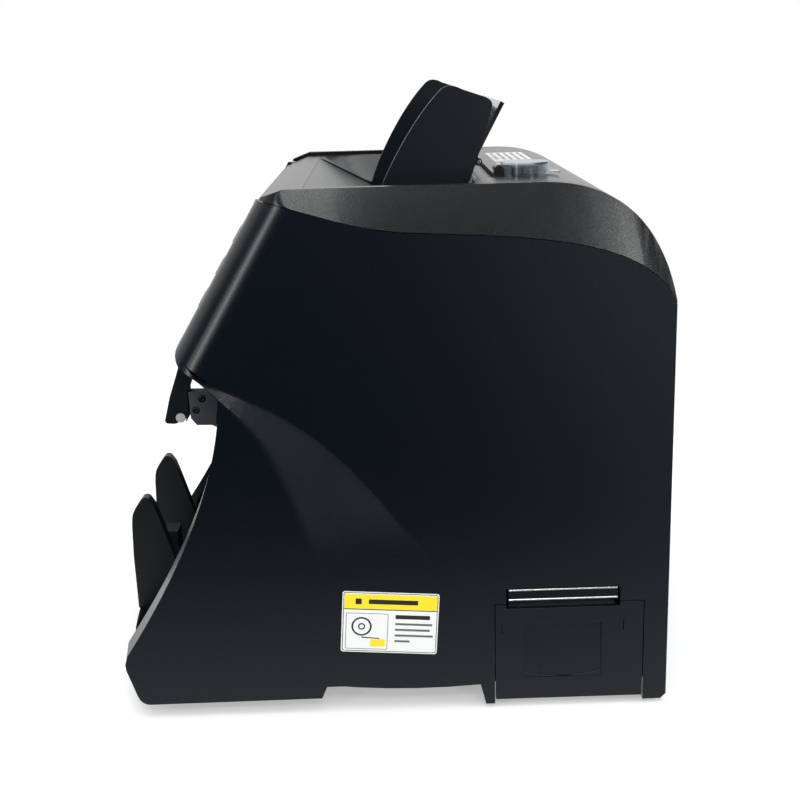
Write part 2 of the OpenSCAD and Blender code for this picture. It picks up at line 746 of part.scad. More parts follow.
module hopper_bed() {
    shelf_x = guide_x - 2.5 - seam;
    brow_in = [brow[0], brow[1] - shelf_d];
    color([0.13, 0.14, 0.15]) in_frame() difference() {
        union() {
            x_plate(ribbon([brow_in, [crown[0] - 0.6, deck_z], ramp_top + [0.7, 0]], -wall),
                -bed_outer, bed_outer);
            both_sides() shoulder();
            x_plate(ribbon([ramp_top, ramp_end], -ramp_t), -bed_x - 1, bed_x + 1);
            wall_band(-2, split_s, bed_x + 1.5, wall_t);
            wall_band(split_s - 1.5, wall_len, shelf_x, wall_t - 0.1);
            x_plate(box2(wall_foot[0] - 1, deck_z - wall, hopper_rear_y - seam, deck_z), -shelf_x, shelf_x);
            flap_lugs();
            on_ramp() translate([0, pinion_y, rack_z - 1.6]) {
                cylinder(r = pinion_pin_r, h = -rack_z);
                cylinder(r = pinion_pin_r + 1.6, h = 1.3);
            }
            both_sides() x_plate(concat(arc(retard_c, shaft_r + 2, -152, 28, 10),
                [for (w = [5, -5]) ramp_top + down * (down_ramp(retard_c) + w) - up * 1]),
                retard_x, retard_x + retard_lug);
        }
        for (x = [-pickup_x, pickup_x])
            x_rod(pickup_c, x - pickup_w / 2 - path_gap, x + pickup_w / 2 + path_gap, pickup_r + path_gap);
        foot_slot(foot_y0, foot_y1);
        mirror([1, 0, 0]) foot_slot(left_foot_y0, left_foot_y1);
        both_sides() x_plate(concat([for (p = seam_line) p - [0, seam / 2]],
            [[rear_y, 150], [brow[0] - 12, 150], slant_top - [12, 0]]), inner_x - seam, half_w);
        x_rod(flap_pin_yz, -flap_x - 10, flap_x + 10, flap_pin_r + fit);
        x_rod(retard_c, -retard_x - 5, retard_x + 5, shaft_r + fit);
    }
}

// Distance down the ramp of a point
function down_ramp(p) = (p - ramp_top) * down;
pickup_w = 12;
feed_w = 10;
transport_w = 12;
left_foot_y0 = pinion_y - rack_depth;
left_foot_y1 = pinion_y;

module retard_roller() {
    color([0.20, 0.20, 0.22]) in_frame() {
        difference() {
            x_rod(retard_c, -retard_w / 2, retard_w / 2, retard_r);
            x_rod(retard_c, -retard_w, retard_w, shaft_r + fit);
        }
        x_rod(retard_c, -retard_x - retard_lug, retard_x + retard_lug, shaft_r);
    }
}

// Guide sheets on both sides of the note path
guide_top = feed_s - 13;
guide_mid = [sensor_s + 12, sensor_s - 12];
guide_end = sensor_s - 36;
span = frame_in - 0.2;

module guide_sheet(offset_d, t, s0, s1) {
    x_plate(ribbon([on_path(s1) + down * offset_d, on_path(s0) + down * offset_d], t), -span, span);
}

module note_guides() {
    color([0.62, 0.64, 0.66]) in_frame() difference() {
        union() {
            guide_sheet(-path_gap, guide_t, guide_top, guide_mid[0]);
            guide_sheet(-path_gap, guide_t, guide_mid[1], guide_end);
            guide_sheet(path_gap, -guide_t, guide_top, guide_mid[0]);
            guide_sheet(path_gap, -guide_t, guide_mid[1], guide_end);
        }
        for (x = [-transport_x, transport_x])
            x_rod(transport_c, x - transport_w / 2 - path_gap, x + transport_w / 2 + path_gap,
                transport_r + 1);
    }
}

bar_t = 12;
bar_l = 20;
bar_off = 9;

module sensor_bars() {
    color([0.10, 0.11, 0.12]) in_frame() for (side = [-1, 1]) {
        a = sensor_c + down * (side * bar_off - bar_t / 2);
        x_plate([a - up * bar_l / 2, a + up * bar_l / 2, a + up * bar_l / 2 + down * bar_t,
            a - up * bar_l / 2 + down * bar_t], -span, span);
    }
}

// Side frames
rods = [[-74, 20], [30, 30], [122, 205], [-62, 235]];
frame_front = [[-76, 11], [-76, 124], [-86, 152], [-95, 160], [-107, 166], [-107, 181], [-97, 181.2],
    [-88, 187], [-86, 196], [-75, 240], [-50, 262]];
frame_rear = [[-10, 267], [shelf_y, 267], [shelf_y + 1.5, 272], [88, 272], [100, 262], [135, 215]];
foot_w = 12;
frame_z0 = base_z + base_t;
tab_screws = [[-101.3, 178.6], [-104.9, 172.4]];

module side_frame(low_rear) {
    color([0.66, 0.68, 0.70]) in_frame() difference() {
        union() {
            x_plate(concat([[-76, frame_z0]], frame_front, frame_rear, low_rear), frame_in, frame_x);
            block([frame_x - foot_w, -76, frame_z0], [frame_x, 50, frame_z0 + frame_t]);
        }
        for (c = [pickup_c, feed_c, transport_c, stacker_c])
            x_rod(c, frame_in - 1, frame_x + 1, shaft_r + fit);
        for (c = tab_screws) x_rod(c, frame_in - 1, frame_x + 1, 1.25);
        children();
    }
}

module right_frame() {
    side_frame([[135, box_top + 7], [52, box_top + 7], [50, frame_z0]]);
}

module left_frame() {
    mirror([1, 0, 0]) side_frame([[135, 40], [125, frame_z0]])
        x_rod(motor_c, frame_in - 1, frame_x + 1, shaft_r + fit);
}

module cross_rods() {
    color([0.70, 0.71, 0.73]) in_frame() for (c = rods) x_rod(c, -frame_in, frame_in, 3);
}

module drive_motor() {
    x0 = -frame_in;
    color([0.45, 0.46, 0.48]) in_frame() difference() {
        union() {
            x_rod(motor_c, x0, x0 + 6, motor_r);
            x_rod(motor_c, x0 + 6, x0 + motor_l - 8, motor_r - 1);
            x_rod(motor_c, x0 + motor_l - 8, x0 + motor_l, motor_r);
            x_rod(motor_c, x0 + motor_l, x0 + motor_l + 4, motor_r - 9);
        }
        x_rod(motor_c, x0 - 1, x0 + 14, shaft_r + fit);
    }
}

lane_gap = 1;
lane_b = belt_x;
lane_a = belt_x + belt_w + lane_gap;

module pulley(c, lane) {
    x_rod(c, -lane - belt_w, -lane, pulley_r);
}

module motor_pulley() {
    color([0.80, 0.80, 0.78]) in_frame() {
        x_rod(motor_c, -lane_a - belt_w - 0.5, -frame_in + 12, shaft_r);
        pulley(motor_c, lane_a);
    }
}

module belt(centres, lane) {
    translate([-lane - belt_w, 0, 0]) rotate([90, 0, 90]) linear_extrude(belt_w) difference() {
        hull() for (c = centres) translate(c) circle(r = pulley_r + belt_gap + belt_t, $fn = 32);
        hull() for (c = centres) translate(c) circle(r = pulley_r + belt_gap, $fn = 32);
    }
}

belt_gap = 0.3;

module drive_belts() {
    color([0.06, 0.06, 0.06]) in_frame() {
        belt([motor_c, stacker_c, transport_c], lane_a);
        belt([transport_c, feed_c, pickup_c], lane_b);
    }
}

module roller_shaft(c, lanes) {
    color([0.75, 0.76, 0.78]) in_frame() {
        x_rod(c, -max(lanes) - belt_w - 0.5, frame_x + 1.5, shaft_r);
        for (l = lanes) pulley(c, l);
    }
}

module roller_pair(c, x, w, r, hub) {
    in_frame() for (s = [-x, x]) difference() {
        union() {
            x_rod(c, s - w / 2, s + w / 2, r);
            x_rod(c, s - w / 2 - 3, s + w / 2 + 3, hub);
        }
        x_rod(c, s - w / 2 - 4, s + w / 2 + 4, shaft_r + fit);
    }
}

module pickup_shaft() roller_shaft(pickup_c, [lane_b]);
module feed_shaft() roller_shaft(feed_c, [lane_b]);
module transport_shaft() roller_shaft(transport_c, [lane_a, lane_b]);
module stacker_shaft() roller_shaft(stacker_c, [lane_a]);
module pickup_rollers() color([0.30, 0.31, 0.33]) roller_pair(pickup_c, pickup_x, pickup_w, pickup_r, 7);
module feed_rollers() color([0.30, 0.31, 0.33]) roller_pair(feed_c, feed_x, feed_w, feed_r, 6);
module transport_rollers()
    color([0.30, 0.31, 0.33]) roller_pair(transport_c, transport_x, transport_w, transport_r, 6);

wheel_hub = 9;
blade_t = 1.3;

module stacker_wheels() {
    tip = stacker_r * [cos(26), sin(26)];
    blade = ribbon(bez2([wheel_hub - 1, 0], [stacker_r * 0.7, stacker_r * 0.06], tip, 8), blade_t);
    color([0.16, 0.34, 0.52]) in_frame() for (x = [-wheel_x, wheel_x])
        translate([x - wheel_t / 2, stacker_c[0], stacker_c[1]]) rotate([90, 0, 90])
            linear_extrude(wheel_t) difference() {
                union() {
                    circle(r = wheel_hub);
                    for (i = [0 : blades - 1]) rotate(i * 360 / blades) polygon(blade);
                }
                circle(r = shaft_r + fit);
            }
}

// Plate with a corner cut out beside each lug, and a barrel between them
module hopper_flap() {
    low = 2.2;
    notch = flap_rise + 4.35;
    inner = flap_x - lug_t - seam;
    color([0.20, 0.22, 0.23]) in_frame() difference() {
        union() {
            x_plate(ribbon([for (u = [notch, flap_rise + flap_h]) at_wall(flap_seat, u)], flap_t),
                -flap_x, flap_x);
            x_plate(ribbon([for (u = [low, notch + 1]) at_wall(flap_seat, u)], flap_t), -inner, inner);
            x_plate([at_wall(0, flap_rise - 1.8), at_wall(flap_seat + 2.2, flap_rise - 1.8),
                at_wall(flap_seat + 2.2, flap_rise + 1.8), at_wall(0, flap_rise + 2.6)], -inner, inner);
            x_rod(flap_pin_yz, -inner, inner, barrel_r);
        }
        x_rod(flap_pin_yz, -flap_x - 1, flap_x + 1, flap_pin_r + fit);
    }
}

module flap_pin() {
    color([0.75, 0.76, 0.78]) in_frame() x_rod(flap_pin_yz, -flap_x - 0.5, flap_x + 0.5, flap_pin_r);
}

// Guide wing outline, front edge upwards, round the top and down the rear edge
wing_gap = 2.2;
wing_over_top = concat(
    bez3([[-7.9, -19.3], [-0.5, 3.7], [16, 31.7], [30.2, 45.6]], 14),
    bez2([30.2, 45.6], [34.5, 49.9], [41.6, 45.9], 9),
    bez2([52.5, 42.1], [58.6, 39.9], [57, 36.2], 9),
    bez2([56.8, 35.5], [53.2, 21.2], [46.4, 2.2], 7));
wing_outline = concat([for (p = wing_over_top) p + [0, top_z]],
    [on_path(wall_len - 1) - down * wing_gap, on_path(2) - down * wing_gap]);

// Rack tooth, standing on a bar whose face is y = 0, pointing to negative y
rack_tooth = [[-1.1, 0.1], [-0.28, -tooth_l], [0.28, -tooth_l], [1.1, 0.1]];

module rack(x1) {
    translate([0, foot_y0, rack_z]) {
        block([-6, 0, 0], [x1, rack_depth, rack_top - rack_z]);
        for (i = [-1 : 12]) translate([i * tooth_pitch, 0, 0])
            linear_extrude(rack_top - rack_z) polygon(rack_tooth);
    }
}

module guide_wing() {
    x_plate(wing_outline, guide_x - wing_t, guide_x);
}

module right_guide_wing() {
    color([0.10, 0.12, 0.14]) in_frame() {
        guide_wing();
        on_ramp() {
            block([guide_x - wing_t, foot_y0, rack_z], [guide_x, foot_y1, 4]);
            rack(guide_x);
        }
    }
}

module left_guide_wing() {
    color([0.10, 0.12, 0.14]) in_frame() mirror([1, 0, 0]) {
        guide_wing();
        on_ramp() {
            block([guide_x - wing_t, left_foot_y0, rack_z], [guide_x, left_foot_y1, 4]);
            block([guide_x - 8, 2 * pinion_y - foot_y1, rack_z], [guide_x, left_foot_y1, rack_top]);
            translate([0, 2 * pinion_y, 0]) mirror([0, 1, 0]) rack(guide_x);
        }
    }
}

// One tooth and the gap after it, seen from the pinion's centre
pinion_tooth = [[-1.2, 0], [-0.72, root_h], [-0.3, tooth_l + 0.1], [0.3, tooth_l + 0.1], [0.72, root_h],
    [1.2, 0]];
function turn(p, a) = [p[0] * cos(a) - p[1] * sin(a), p[0] * sin(a) + p[1] * cos(a)];

module guide_pinion() {
    root = pinion_r - root_h;
    outline = [for (i = [0 : 11], k = [5 : -1 : 0]) turn(pinion_tooth[k] + [0, root], (i + 0.5) * 30)];
    color([0.85, 0.85, 0.80]) in_frame() on_ramp() translate([0, pinion_y, rack_z])
        linear_extrude(rack_top - rack_z) difference() {
            polygon(outline);
            circle(r = pinion_pin_r + fit);
        }
}

module main_board() {
    color([0.08, 0.28, 0.14]) in_frame() {
        block([board_x0, board_y, board_z0], [board_x1, board_y + board_t, board_z1]);
        for (p = ports)
            block([p[0] - p[1] / 2, board_y + board_t, port_z - p[2] / 2],
                [p[0] + p[1] / 2, rear_y - 0.5, port_z + p[2] / 2]);
        block([20, board_y - 1.6, 140], [40, board_y, 160]);
        block([58, board_y - 10, 150], [88, board_y, 178]);
        block([0, board_y - 1.4, 166], [14, board_y, 180]);
        for (x = [50, 62, 74]) y_rod([x, 128], board_y - 12, board_y, 4);
    }
}

psu_lo = [-100, 60, frame_z0];
psu_size = [85, 65, 38];

module power_supply() {
    color([0.60, 0.62, 0.64]) in_frame() {
        for (x = [5, 80], y = [5, 60])
            translate(psu_lo + [x, y, 0]) cylinder(r = 3, h = 4);
        translate(psu_lo + [0, 0, 4]) cube([psu_size[0], psu_size[1], 1.6]);
        translate(psu_lo + [25, 18, 5.6]) cube([30, 28, 26]);
        translate(psu_lo + [6, 10, 5.6]) cube([3, 45, 30]);
        translate(psu_lo + [60, 8, 5.6]) cube([16, 12, 12]);
        for (p = [[66, 34], [66, 50], [16, 14]]) translate(psu_lo + [p[0], p[1], 5.6])
            cylinder(r = 6.5, h = 28);
    }
}

fan_y0 = rear_y - wall - fan_d;
fan_hub = 11;
fan_pin = 1.5;

module fan_frame() {
    bore = fan_w / 2 - 2;
    y1 = rear_y - wall;
    y0 = y1 - 2.5;
    half = fan_w / 2;
    color([0.08, 0.08, 0.09]) in_frame() {
        difference() {
            block([-fan_x - half, fan_y0, fan_z - half], [-fan_x + half, y1, fan_z + half]);
            y_rod([-fan_x, fan_z], fan_y0 - 1, y1 + 1, bore);
            for (x = [5 - half, half - 5], z = [5 - half, half - 5])
                y_rod([-fan_x + x, fan_z + z], fan_y0 - 1, y1 + 1, 2);
        }
        y_rod([-fan_x, fan_z], y0, y1, fan_hub);
        y_rod([-fan_x, fan_z], fan_y0 + 3, y0 + 1, fan_pin);
        block([-fan_x - bore - 1, y0, fan_z - 1.5], [-fan_x + bore + 1, y1, fan_z + 1.5]);
        block([-fan_x - 1.5, y0, fan_z - bore - 1], [-fan_x + 1.5, y1, fan_z + bore + 1]);
    }
}

module fan_rotor() {
    reach = fan_w / 2 - 3;
    y1 = rear_y - wall - 2.8;
    color([0.10, 0.10, 0.11]) in_frame() difference() {
        union() {
            y_rod([-fan_x, fan_z], fan_y0 + 1, y1, fan_hub - 0.5);
            intersection() {
                y_rod([-fan_x, fan_z], fan_y0 + 1, y1, reach);
                translate([-fan_x, (fan_y0 + 1 + y1) / 2, fan_z]) for (a = [0 : 360 / 7 : 359])
                    rotate([0, a, 0]) translate([fan_hub - 2, 0, 0]) rotate([38, 0, 0])
                        translate([0, -8, -0.6]) cube([reach, 16, 1.2]);
            }
        }
        y_rod([-fan_x, fan_z], fan_y0 + 2.5, rear_y, fan_pin + fit);
    }
}

entry_x = 14;
entry_z0 = inlet_z - 10;
entry_z1 = switch_z + 10;
rocker_x = 6;
rocker_pin_r = 1.5;
rocker_c = [switch_y, switch_z];

module power_inlet() {
    x = -inlet_x;
    y1 = rear_y - 0.5;
    color([0.10, 0.10, 0.10]) in_frame() {
        difference() {
            union() {
                block([x - entry_x + 0.3, rear_y - 24, entry_z0 + 0.3],
                    [x + entry_x - 0.3, y1, entry_z1 - 0.3]);
                block([x - entry_x - 2, rear_y - wall - 2, entry_z0 - 2],
                    [x + entry_x + 2, rear_y - wall, entry_z1 + 2]);
            }
            block([x - 11, rear_y - 16, inlet_z - 7], [x + 11, rear_y, inlet_z + 7]);
            block([x - rocker_x - 0.4, rear_y - 20, switch_z - 9],
                [x + rocker_x + 0.4, rear_y, switch_z + 9]);
        }
        for (p = [[-6, -1], [0, 2], [6, -1]])
            block([x + p[0] - 1, rear_y - 17, inlet_z + p[1] - 2.5],
                [x + p[0] + 1, rear_y - 4, inlet_z + p[1] + 2.5]);
        x_rod(rocker_c, x - rocker_x - 1, x + rocker_x + 1, rocker_pin_r);
    }
}

module power_switch() {
    x = -inlet_x;
    outline = [[-4, -4.5], [3.6, -7.2], [4.4, 0], [6.8, 7.2], [-4, 4.5]];
    color([0.55, 0.08, 0.07]) in_frame() difference() {
        x_plate([for (p = outline) p + rocker_c], x - rocker_x, x + rocker_x);
        x_rod(rocker_c, x - rocker_x - 1, x + rocker_x + 1, rocker_pin_r + fit);
    }
}

box_front = half_w - wall - 0.3;
lug_front = 2.4;
tear_y0 = print_y - tear_l / 2;
tear_y1 = print_y + tear_l / 2;
tear_seat_x = half_w - 2;

module printer_frame() {
    color([0.14, 0.14, 0.15]) in_frame() difference() {
        union() {
            block([box_x0, box_y0, box_z0], [half_w - 10, box_y1, box_z0 + box_t]);
            block([box_x0, box_y0, box_z0], [box_x0 + box_t, box_y1, box_top]);
            block([box_x0, box_y0, box_top - box_t], [box_front, box_y1, box_top]);
            for (y = [box_y0, box_y1 - box_t]) {
                block([box_x0, y, box_z0], [half_w - 10, y + box_t, box_top]);
                block([half_w - 11, y, hinge_xz[1]], [hinge_xz[0] + lug_front, y + box_t, box_top]);
                y_rod(hinge_xz, y, y + box_t, lug_front);
            }
            block([half_w - 9, tear_y0 + 1, tear_z + 1.2], [box_front, tear_y1 - 1, box_top - 1]);
            block([half_w - 9, tear_y0 + 1, tear_z + 1.2], [tear_seat_x, tear_y1 - 1, tear_z + tear_h]);
        }
        y_rod(hinge_xz, box_y0 - 1, box_y1 + 1, hinge_pin_r + fit);
    }
}

arm_t = 1.6;
pull = [[69.5, 18], [112.5, 50]];

module printer_door() {
    color([0.09, 0.10, 0.11]) in_frame() difference() {
        union() {
            block([half_w - wall, door_y, door_z], [half_w, door_y + door_w, door_top]);
            for (y = [box_y0 + box_t + 0.3, box_y1 - box_t - 10.3]) {
                y_rod(hinge_xz, y, y + 10, 2.5);
                block([hinge_xz[0], y, hinge_xz[1] - 2.5], [half_w - wall + 0.5, y + 10, hinge_xz[1] + 2.5]);
            }
            for (y = [print_y - platen_l / 2 - 0.3 - arm_t, print_y + platen_l / 2 + 0.3])
                block([platen_xz[0] - 4, y, platen_xz[1] - 4],
                    [half_w - wall + 0.5, y + arm_t, platen_xz[1] + 4]);
        }
        block([half_w - wall - 1, tear_y0 - 0.5, door_top - 2.5], [half_w + 1, tear_y1 + 0.5, door_top + 1]);
        difference() {
            block([half_w - 1.8, pull[0][0], pull[0][1]], [half_w + 1, pull[1][0], pull[1][1]]);
            block([half_w - 2, pull[0][0] + 9.5, pull[0][1] - 1],
                [half_w + 2, pull[0][0] + 10.3, pull[0][1] + 8]);
        }
        for (y = [57.5, 124.5]) block([half_w - 1.2, y - 0.4, 45], [half_w + 1, y + 0.4, 51]);
        y_rod(hinge_xz, box_y0, box_y1, hinge_pin_r + fit);
        y_rod(platen_xz, print_y - platen_l, print_y + platen_l, platen_shaft_r + fit);
    }
}

module door_pin() {
    color([0.75, 0.76, 0.78]) in_frame() y_rod(hinge_xz, box_y0, box_y1, hinge_pin_r);
}

module platen_roller() {
    color([0.12, 0.12, 0.12]) in_frame() {
        y_rod(platen_xz, print_y - platen_l / 2, print_y + platen_l / 2, platen_r);
        y_rod(platen_xz, print_y - platen_l / 2 - 0.3 - arm_t, print_y + platen_l / 2 + 0.3 + arm_t,
            platen_shaft_r);
    }
}

module paper_roll() {
    color([0.95, 0.95, 0.93]) in_frame() {
        y0 = print_y - roll_w / 2;
        y1 = print_y + roll_w / 2;
        difference() {
            y_rod(roll_xz, y0, y1, roll_r);
            y_rod(roll_xz, y0 - 1, y1 + 1, core_r + 1 + fit);
        }
        difference() {
            y_rod(roll_xz, y0, y1, core_r + 1);
            y_rod(roll_xz, y0 - 1, y1 + 1, core_r);
        }
    }
}

module print_head() {
    x1 = platen_xz[0] - platen_r - 0.3;
    color([0.78, 0.78, 0.76]) in_frame() {
        block([x1 - 3, print_y - platen_l / 2 + 0.5, platen_xz[1] - 6],
            [x1, print_y + platen_l / 2 - 0.5, box_top - box_t]);
        for (i = [0 : 5])
            block([x1 - 7, print_y - 25 + i * 9.6, platen_xz[1] - 5],
                [x1 - 3, print_y - 23 + i * 9.6, box_top - 4]);
    }
}

module tear_bar() {
    teeth = 40;
    pitch = (tear_l - 1.5) / teeth;
    zig = [for (i = [0 : teeth], k = [0, 1]) if (i < teeth || k == 0)
        [tear_y0 + 0.75 + (i + k / 2) * pitch, tear_z + (k == 0 ? 0.9 : 0)]];
    color([0.80, 0.81, 0.82]) in_frame()
        x_plate(concat(zig, [[tear_y1 - 0.75, tear_z + tear_h], [tear_y0 + 0.75, tear_z + tear_h]]),
            tear_seat_x, tear_seat_x + tear_t);
}

module knob_cover() {
    color([0.85, 0.88, 0.90, 0.5]) in_frame() difference() {
        union() {
            translate([knob_x, knob_y, cap_z]) {
                cylinder(r = cap_r + 0.7, h = cap_t);
                cylinder(r = cap_r, h = cap_h);
            }
            block([knob_x - 6, knob_y + cap_r - 1, cap_z], [knob_x + 6, knob_y + cap_r + 5.3, cap_z + cap_t]);
            block([knob_x - 6, cap_pin[0], cap_z], [knob_x + 6, knob_y - cap_r + 2, cap_z + cap_t]);
            x_rod(cap_pin, knob_x - cap_lug_x + 1.3, knob_x + cap_lug_x - 1.3, cap_pin[1] - cap_z);
        }
        translate([knob_x, knob_y, cap_z - 1]) cylinder(r = cap_r - cap_t, h = cap_h - cap_t + 1);
        x_rod(cap_pin, knob_x - cap_lug_x, knob_x + cap_lug_x, cap_pin_r + fit);
    }
}

module gap_knob() {
    color([0.60, 0.62, 0.63]) in_frame() difference() {
        union() {
            translate([knob_x, knob_y, top_z + 0.3]) cylinder(r = knob_r, h = 3.8);
            translate([knob_x, knob_y, top_z - 9]) cylinder(r = shaft_r, h = 10);
        }
        for (i = [0 : 17]) translate([knob_x, knob_y, top_z]) rotate(i * 20)
            translate([knob_r + 0.3, 0, 0]) cylinder(r = 0.7, h = 6);
        translate([knob_x - 0.6, knob_y - 5, top_z + 3.1]) cube([1.2, 10, 2]);
    }
}

arm_outline = concat([under_nose[1], chin, nose_curve[3]],
    bez2([-111.8, 199.2], [-115.3, 189], [-118.6, 180], 5), [[-122.1, 166.8], [-121.2, 165.4],
        [-117.3, 165], [-110.2, 166.5], [-109.1, 170], [-109.2, 182.6], [-106.2, 190.8]]);
arm_pin_r = 1.2;
arm_end_x = arm_x - 9;

module nose_arms() {
    color([0.10, 0.11, 0.12]) in_frame() both_sides() difference() {
        x_plate(arm_outline, arm_x - arm_w, arm_x);
        x_rod(arm_roller_c, arm_end_x, arm_x + 1, arm_roller_r + 0.4);
        x_rod(arm_roller_c, arm_x - arm_w - 1, arm_x, arm_pin_r + fit);
    }
}

module arm_rollers() {
    color([0.62, 0.64, 0.65]) in_frame() both_sides() {
        x_rod(arm_roller_c, arm_end_x + 0.3, arm_x - 0.2, arm_roller_r);
        x_rod(arm_roller_c, arm_end_x - 5, arm_end_x + 1, arm_pin_r);
    }
}

block_outline = [[-108.5, 182.6], [-108, 168], [-105, 164], [-94.7, 163.7], [-93, 176], [-93.6, 182.4]];
screw_r = 1.2;
screw_head_r = 1.9;

module end_blocks() {
    color([0.10, 0.11, 0.12]) in_frame() both_sides() difference() {
        x_plate(block_outline, frame_x, arm_x);
        for (c = tab_screws) {
            x_rod(c, frame_x - 1, arm_x + 1, screw_r + fit);
            x_rod(c, arm_x - 1.5, arm_x + 1, screw_head_r + 0.2);
        }
    }
}

feet = [[inner_x - 17, -110], [inner_x - 17, rear_y - 29]];

module feet_and_screws() {
    color([0.05, 0.05, 0.05]) in_frame() {
        both_sides() for (p = feet) translate([p[0], p[1], 0]) rotate_extrude()
            polygon([[0, 0], [foot_r - 1.5, 0], [foot_r - 0.5, 1], [foot_r, 2.5], [foot_r - 0.6, base_z],
                [0, base_z]]);
        both_sides() for (c = tab_screws) {
            x_rod(c, frame_in + 0.4, arm_x - 0.5, screw_r);
            x_rod(c, arm_x - 1.5, arm_x - 0.2, screw_head_r);
        }
        for (p = rear_screws) {
            y_rod(p, rear_y - 14, rear_y - 1.5, 1.6);
            y_rod(p, rear_y - 1.6, rear_y - 0.2, 3.2);
        }
    }
}

top_label_lo = [-75, 68];
top_label_hi = [0, 92];

module top_label_shape(gap) {
    block([top_label_lo[0] - gap, top_label_lo[1] - gap, top_z - label_t],
        [top_label_hi[0] + gap, top_label_hi[1] + gap, top_z + gap]);
}

module labels() {
    color([0.92, 0.92, 0.90]) in_frame() {
        side_label_shape(0);
        top_label_shape(0);
    }
}

right_side_cover();
left_side_cover();
top_cover();
front_panel();
rear_cover();
base_plate();
stacker_tray();
stacker_fins();
stacker_back();
hopper_bed();
note_guides();
left_frame();
right_frame();
cross_rods();
sensor_bars();
drive_motor();
motor_pulley();
drive_belts();
pickup_shaft();
pickup_rollers();
feed_shaft();
feed_rollers();
retard_roller();
transport_shaft();
transport_rollers();
stacker_shaft();
stacker_wheels();
hopper_flap();
flap_pin();
left_guide_wing();
right_guide_wing();
guide_pinion();
display_window();
display_module();
key_1();
key_2();
key_3();
key_4();
key_5();
key_6();
main_board();
power_supply();
fan_frame();
fan_rotor();
power_inlet();
power_switch();
printer_frame();
printer_door();
door_pin();
platen_roller();
paper_roll();
print_head();
tear_bar();
knob_cover();
gap_knob();
nose_arms();
arm_rollers();
end_blocks();
feet_and_screws();
labels();
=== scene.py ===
"""Looks of a banknote counter with a top hopper, a front stacker and a side printer.

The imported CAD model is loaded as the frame. Each sub-assembly class dresses its own
nodes and adds or replaces pieces in the same place. Lengths are in metres: X runs across
the machine, Y from front to rear and Z up, with Z = 0 on the table. Sizes of the machine
itself are in millimetres from the part's own origin, and the function at turns them into
metres.
"""

import logging
import math
from dataclasses import dataclass
from enum import Enum
from typing import ClassVar, Iterable, Optional, Sequence

import bmesh
import bpy
from mathutils import Matrix, Vector


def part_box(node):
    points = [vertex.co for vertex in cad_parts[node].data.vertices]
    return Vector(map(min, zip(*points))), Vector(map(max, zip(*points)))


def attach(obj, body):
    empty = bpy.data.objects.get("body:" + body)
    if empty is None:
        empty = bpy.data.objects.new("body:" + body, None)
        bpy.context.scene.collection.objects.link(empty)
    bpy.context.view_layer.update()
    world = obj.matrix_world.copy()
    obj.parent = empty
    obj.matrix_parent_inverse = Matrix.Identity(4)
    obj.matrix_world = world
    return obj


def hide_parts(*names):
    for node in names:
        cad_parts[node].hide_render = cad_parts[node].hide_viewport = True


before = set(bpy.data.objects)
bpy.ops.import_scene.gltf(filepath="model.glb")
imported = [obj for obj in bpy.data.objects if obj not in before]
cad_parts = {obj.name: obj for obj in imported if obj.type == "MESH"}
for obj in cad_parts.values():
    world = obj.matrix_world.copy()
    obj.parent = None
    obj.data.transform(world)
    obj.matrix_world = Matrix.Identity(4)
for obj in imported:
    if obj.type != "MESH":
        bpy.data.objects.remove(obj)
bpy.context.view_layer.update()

LOG = logging.getLogger("banknote_counter")

Point2 = tuple[float, float]
Point3 = tuple[float, float, float]
Colour = tuple[float, float, float, float]
Outline = Sequence[Point2]
Socket = bpy.types.NodeSocket
Node = bpy.types.Node
Tree = bpy.types.NodeTree
Material = bpy.types.Material
Object = bpy.types.Object
Ring = list[bmesh.types.BMVert]

MM = 0.001
MICRON = 0.000001
# Y of the rear cover's outer face and X of the right side cover's, in millimetres
REAR_Y = 149.0
FACE_X = 140.0
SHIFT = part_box("rear_cover")[1].y - REAR_Y * MM
ACROSS, ALONG, UP = Vector((1, 0, 0)), Vector((0, 1, 0)), Vector((0, 0, 1))
WHITE = (1.0, 1.0, 1.0, 1.0)
# Control points, as Y and Z, of both edges of the sweep pressed into each side cover, which bound the painted
# highlight laid on it
SWEEP_UPPER = ((-113.3, 208.2), (-76.5, 169.7), (-47.4, 193.7), (20.0, 85.0))
SWEEP_LOWER = ((-110.0, 205.6), (-83.0, 169.3), (-67.0, 174.3), (-44.0, 88.0))


class Body(str, Enum):
    """Bodies of the machine that the added pieces ride on."""

    MACHINE = "machine"
    PICKUP = "pickup"
    FEED = "feed"
    DOOR = "door"
    KEY_1 = "key1"
    KEY_2 = "key2"
    KEY_3 = "key3"
    KEY_4 = "key4"
    KEY_5 = "key5"
    KEY_6 = "key6"


class Slot(str, Enum):
    """Material slots of the record; no piece in this script is given one."""

    CASING = "dark_casing"
    SMOKED = "smoked_plastic"
    GROUND = "ground_steel"
    RUBBER = "roller_rubber"
    GREY = "grey_plastic"
    LABEL = "label_film"
    FOOT = "foot_rubber"


def srgb(red: float, green: float, blue: float) -> Colour:
    """Turns a colour as seen on a screen into the linear colour a shader takes.

    Args:
        red: Red, 0 to 255.
        green: Green, 0 to 255.
        blue: Blue, 0 to 255.

    Returns:
        Linear red, green, blue and an alpha of 1.
    """

    def linear(value: float) -> float:
        """Gives the linear value of one channel."""
        part = value / 255
        return part / 12.92 if part <= 0.04045 else ((part + 0.055) / 1.055) ** 2.4

    return linear(red), linear(green), linear(blue), 1.0


def toned(colour: Colour, gain: float, lift: float = 0.0) -> Colour:
    """Gives a linear colour made lighter or darker.

    Args:
        colour: The colour.
        gain: Factor of each channel.
        lift: What is added to each channel.

    Returns:
        The new colour, with no channel above 1.
    """
    return tuple(min(1.0, channel * gain + lift) for channel in colour[:3]) + (1.0,)


def at(x: float, y: float, z: float) -> Vector:
    """Gives the scene's point for millimetres measured from the part's own origin."""
    return Vector((x * MM, y * MM + SHIFT, z * MM))


# Outlines


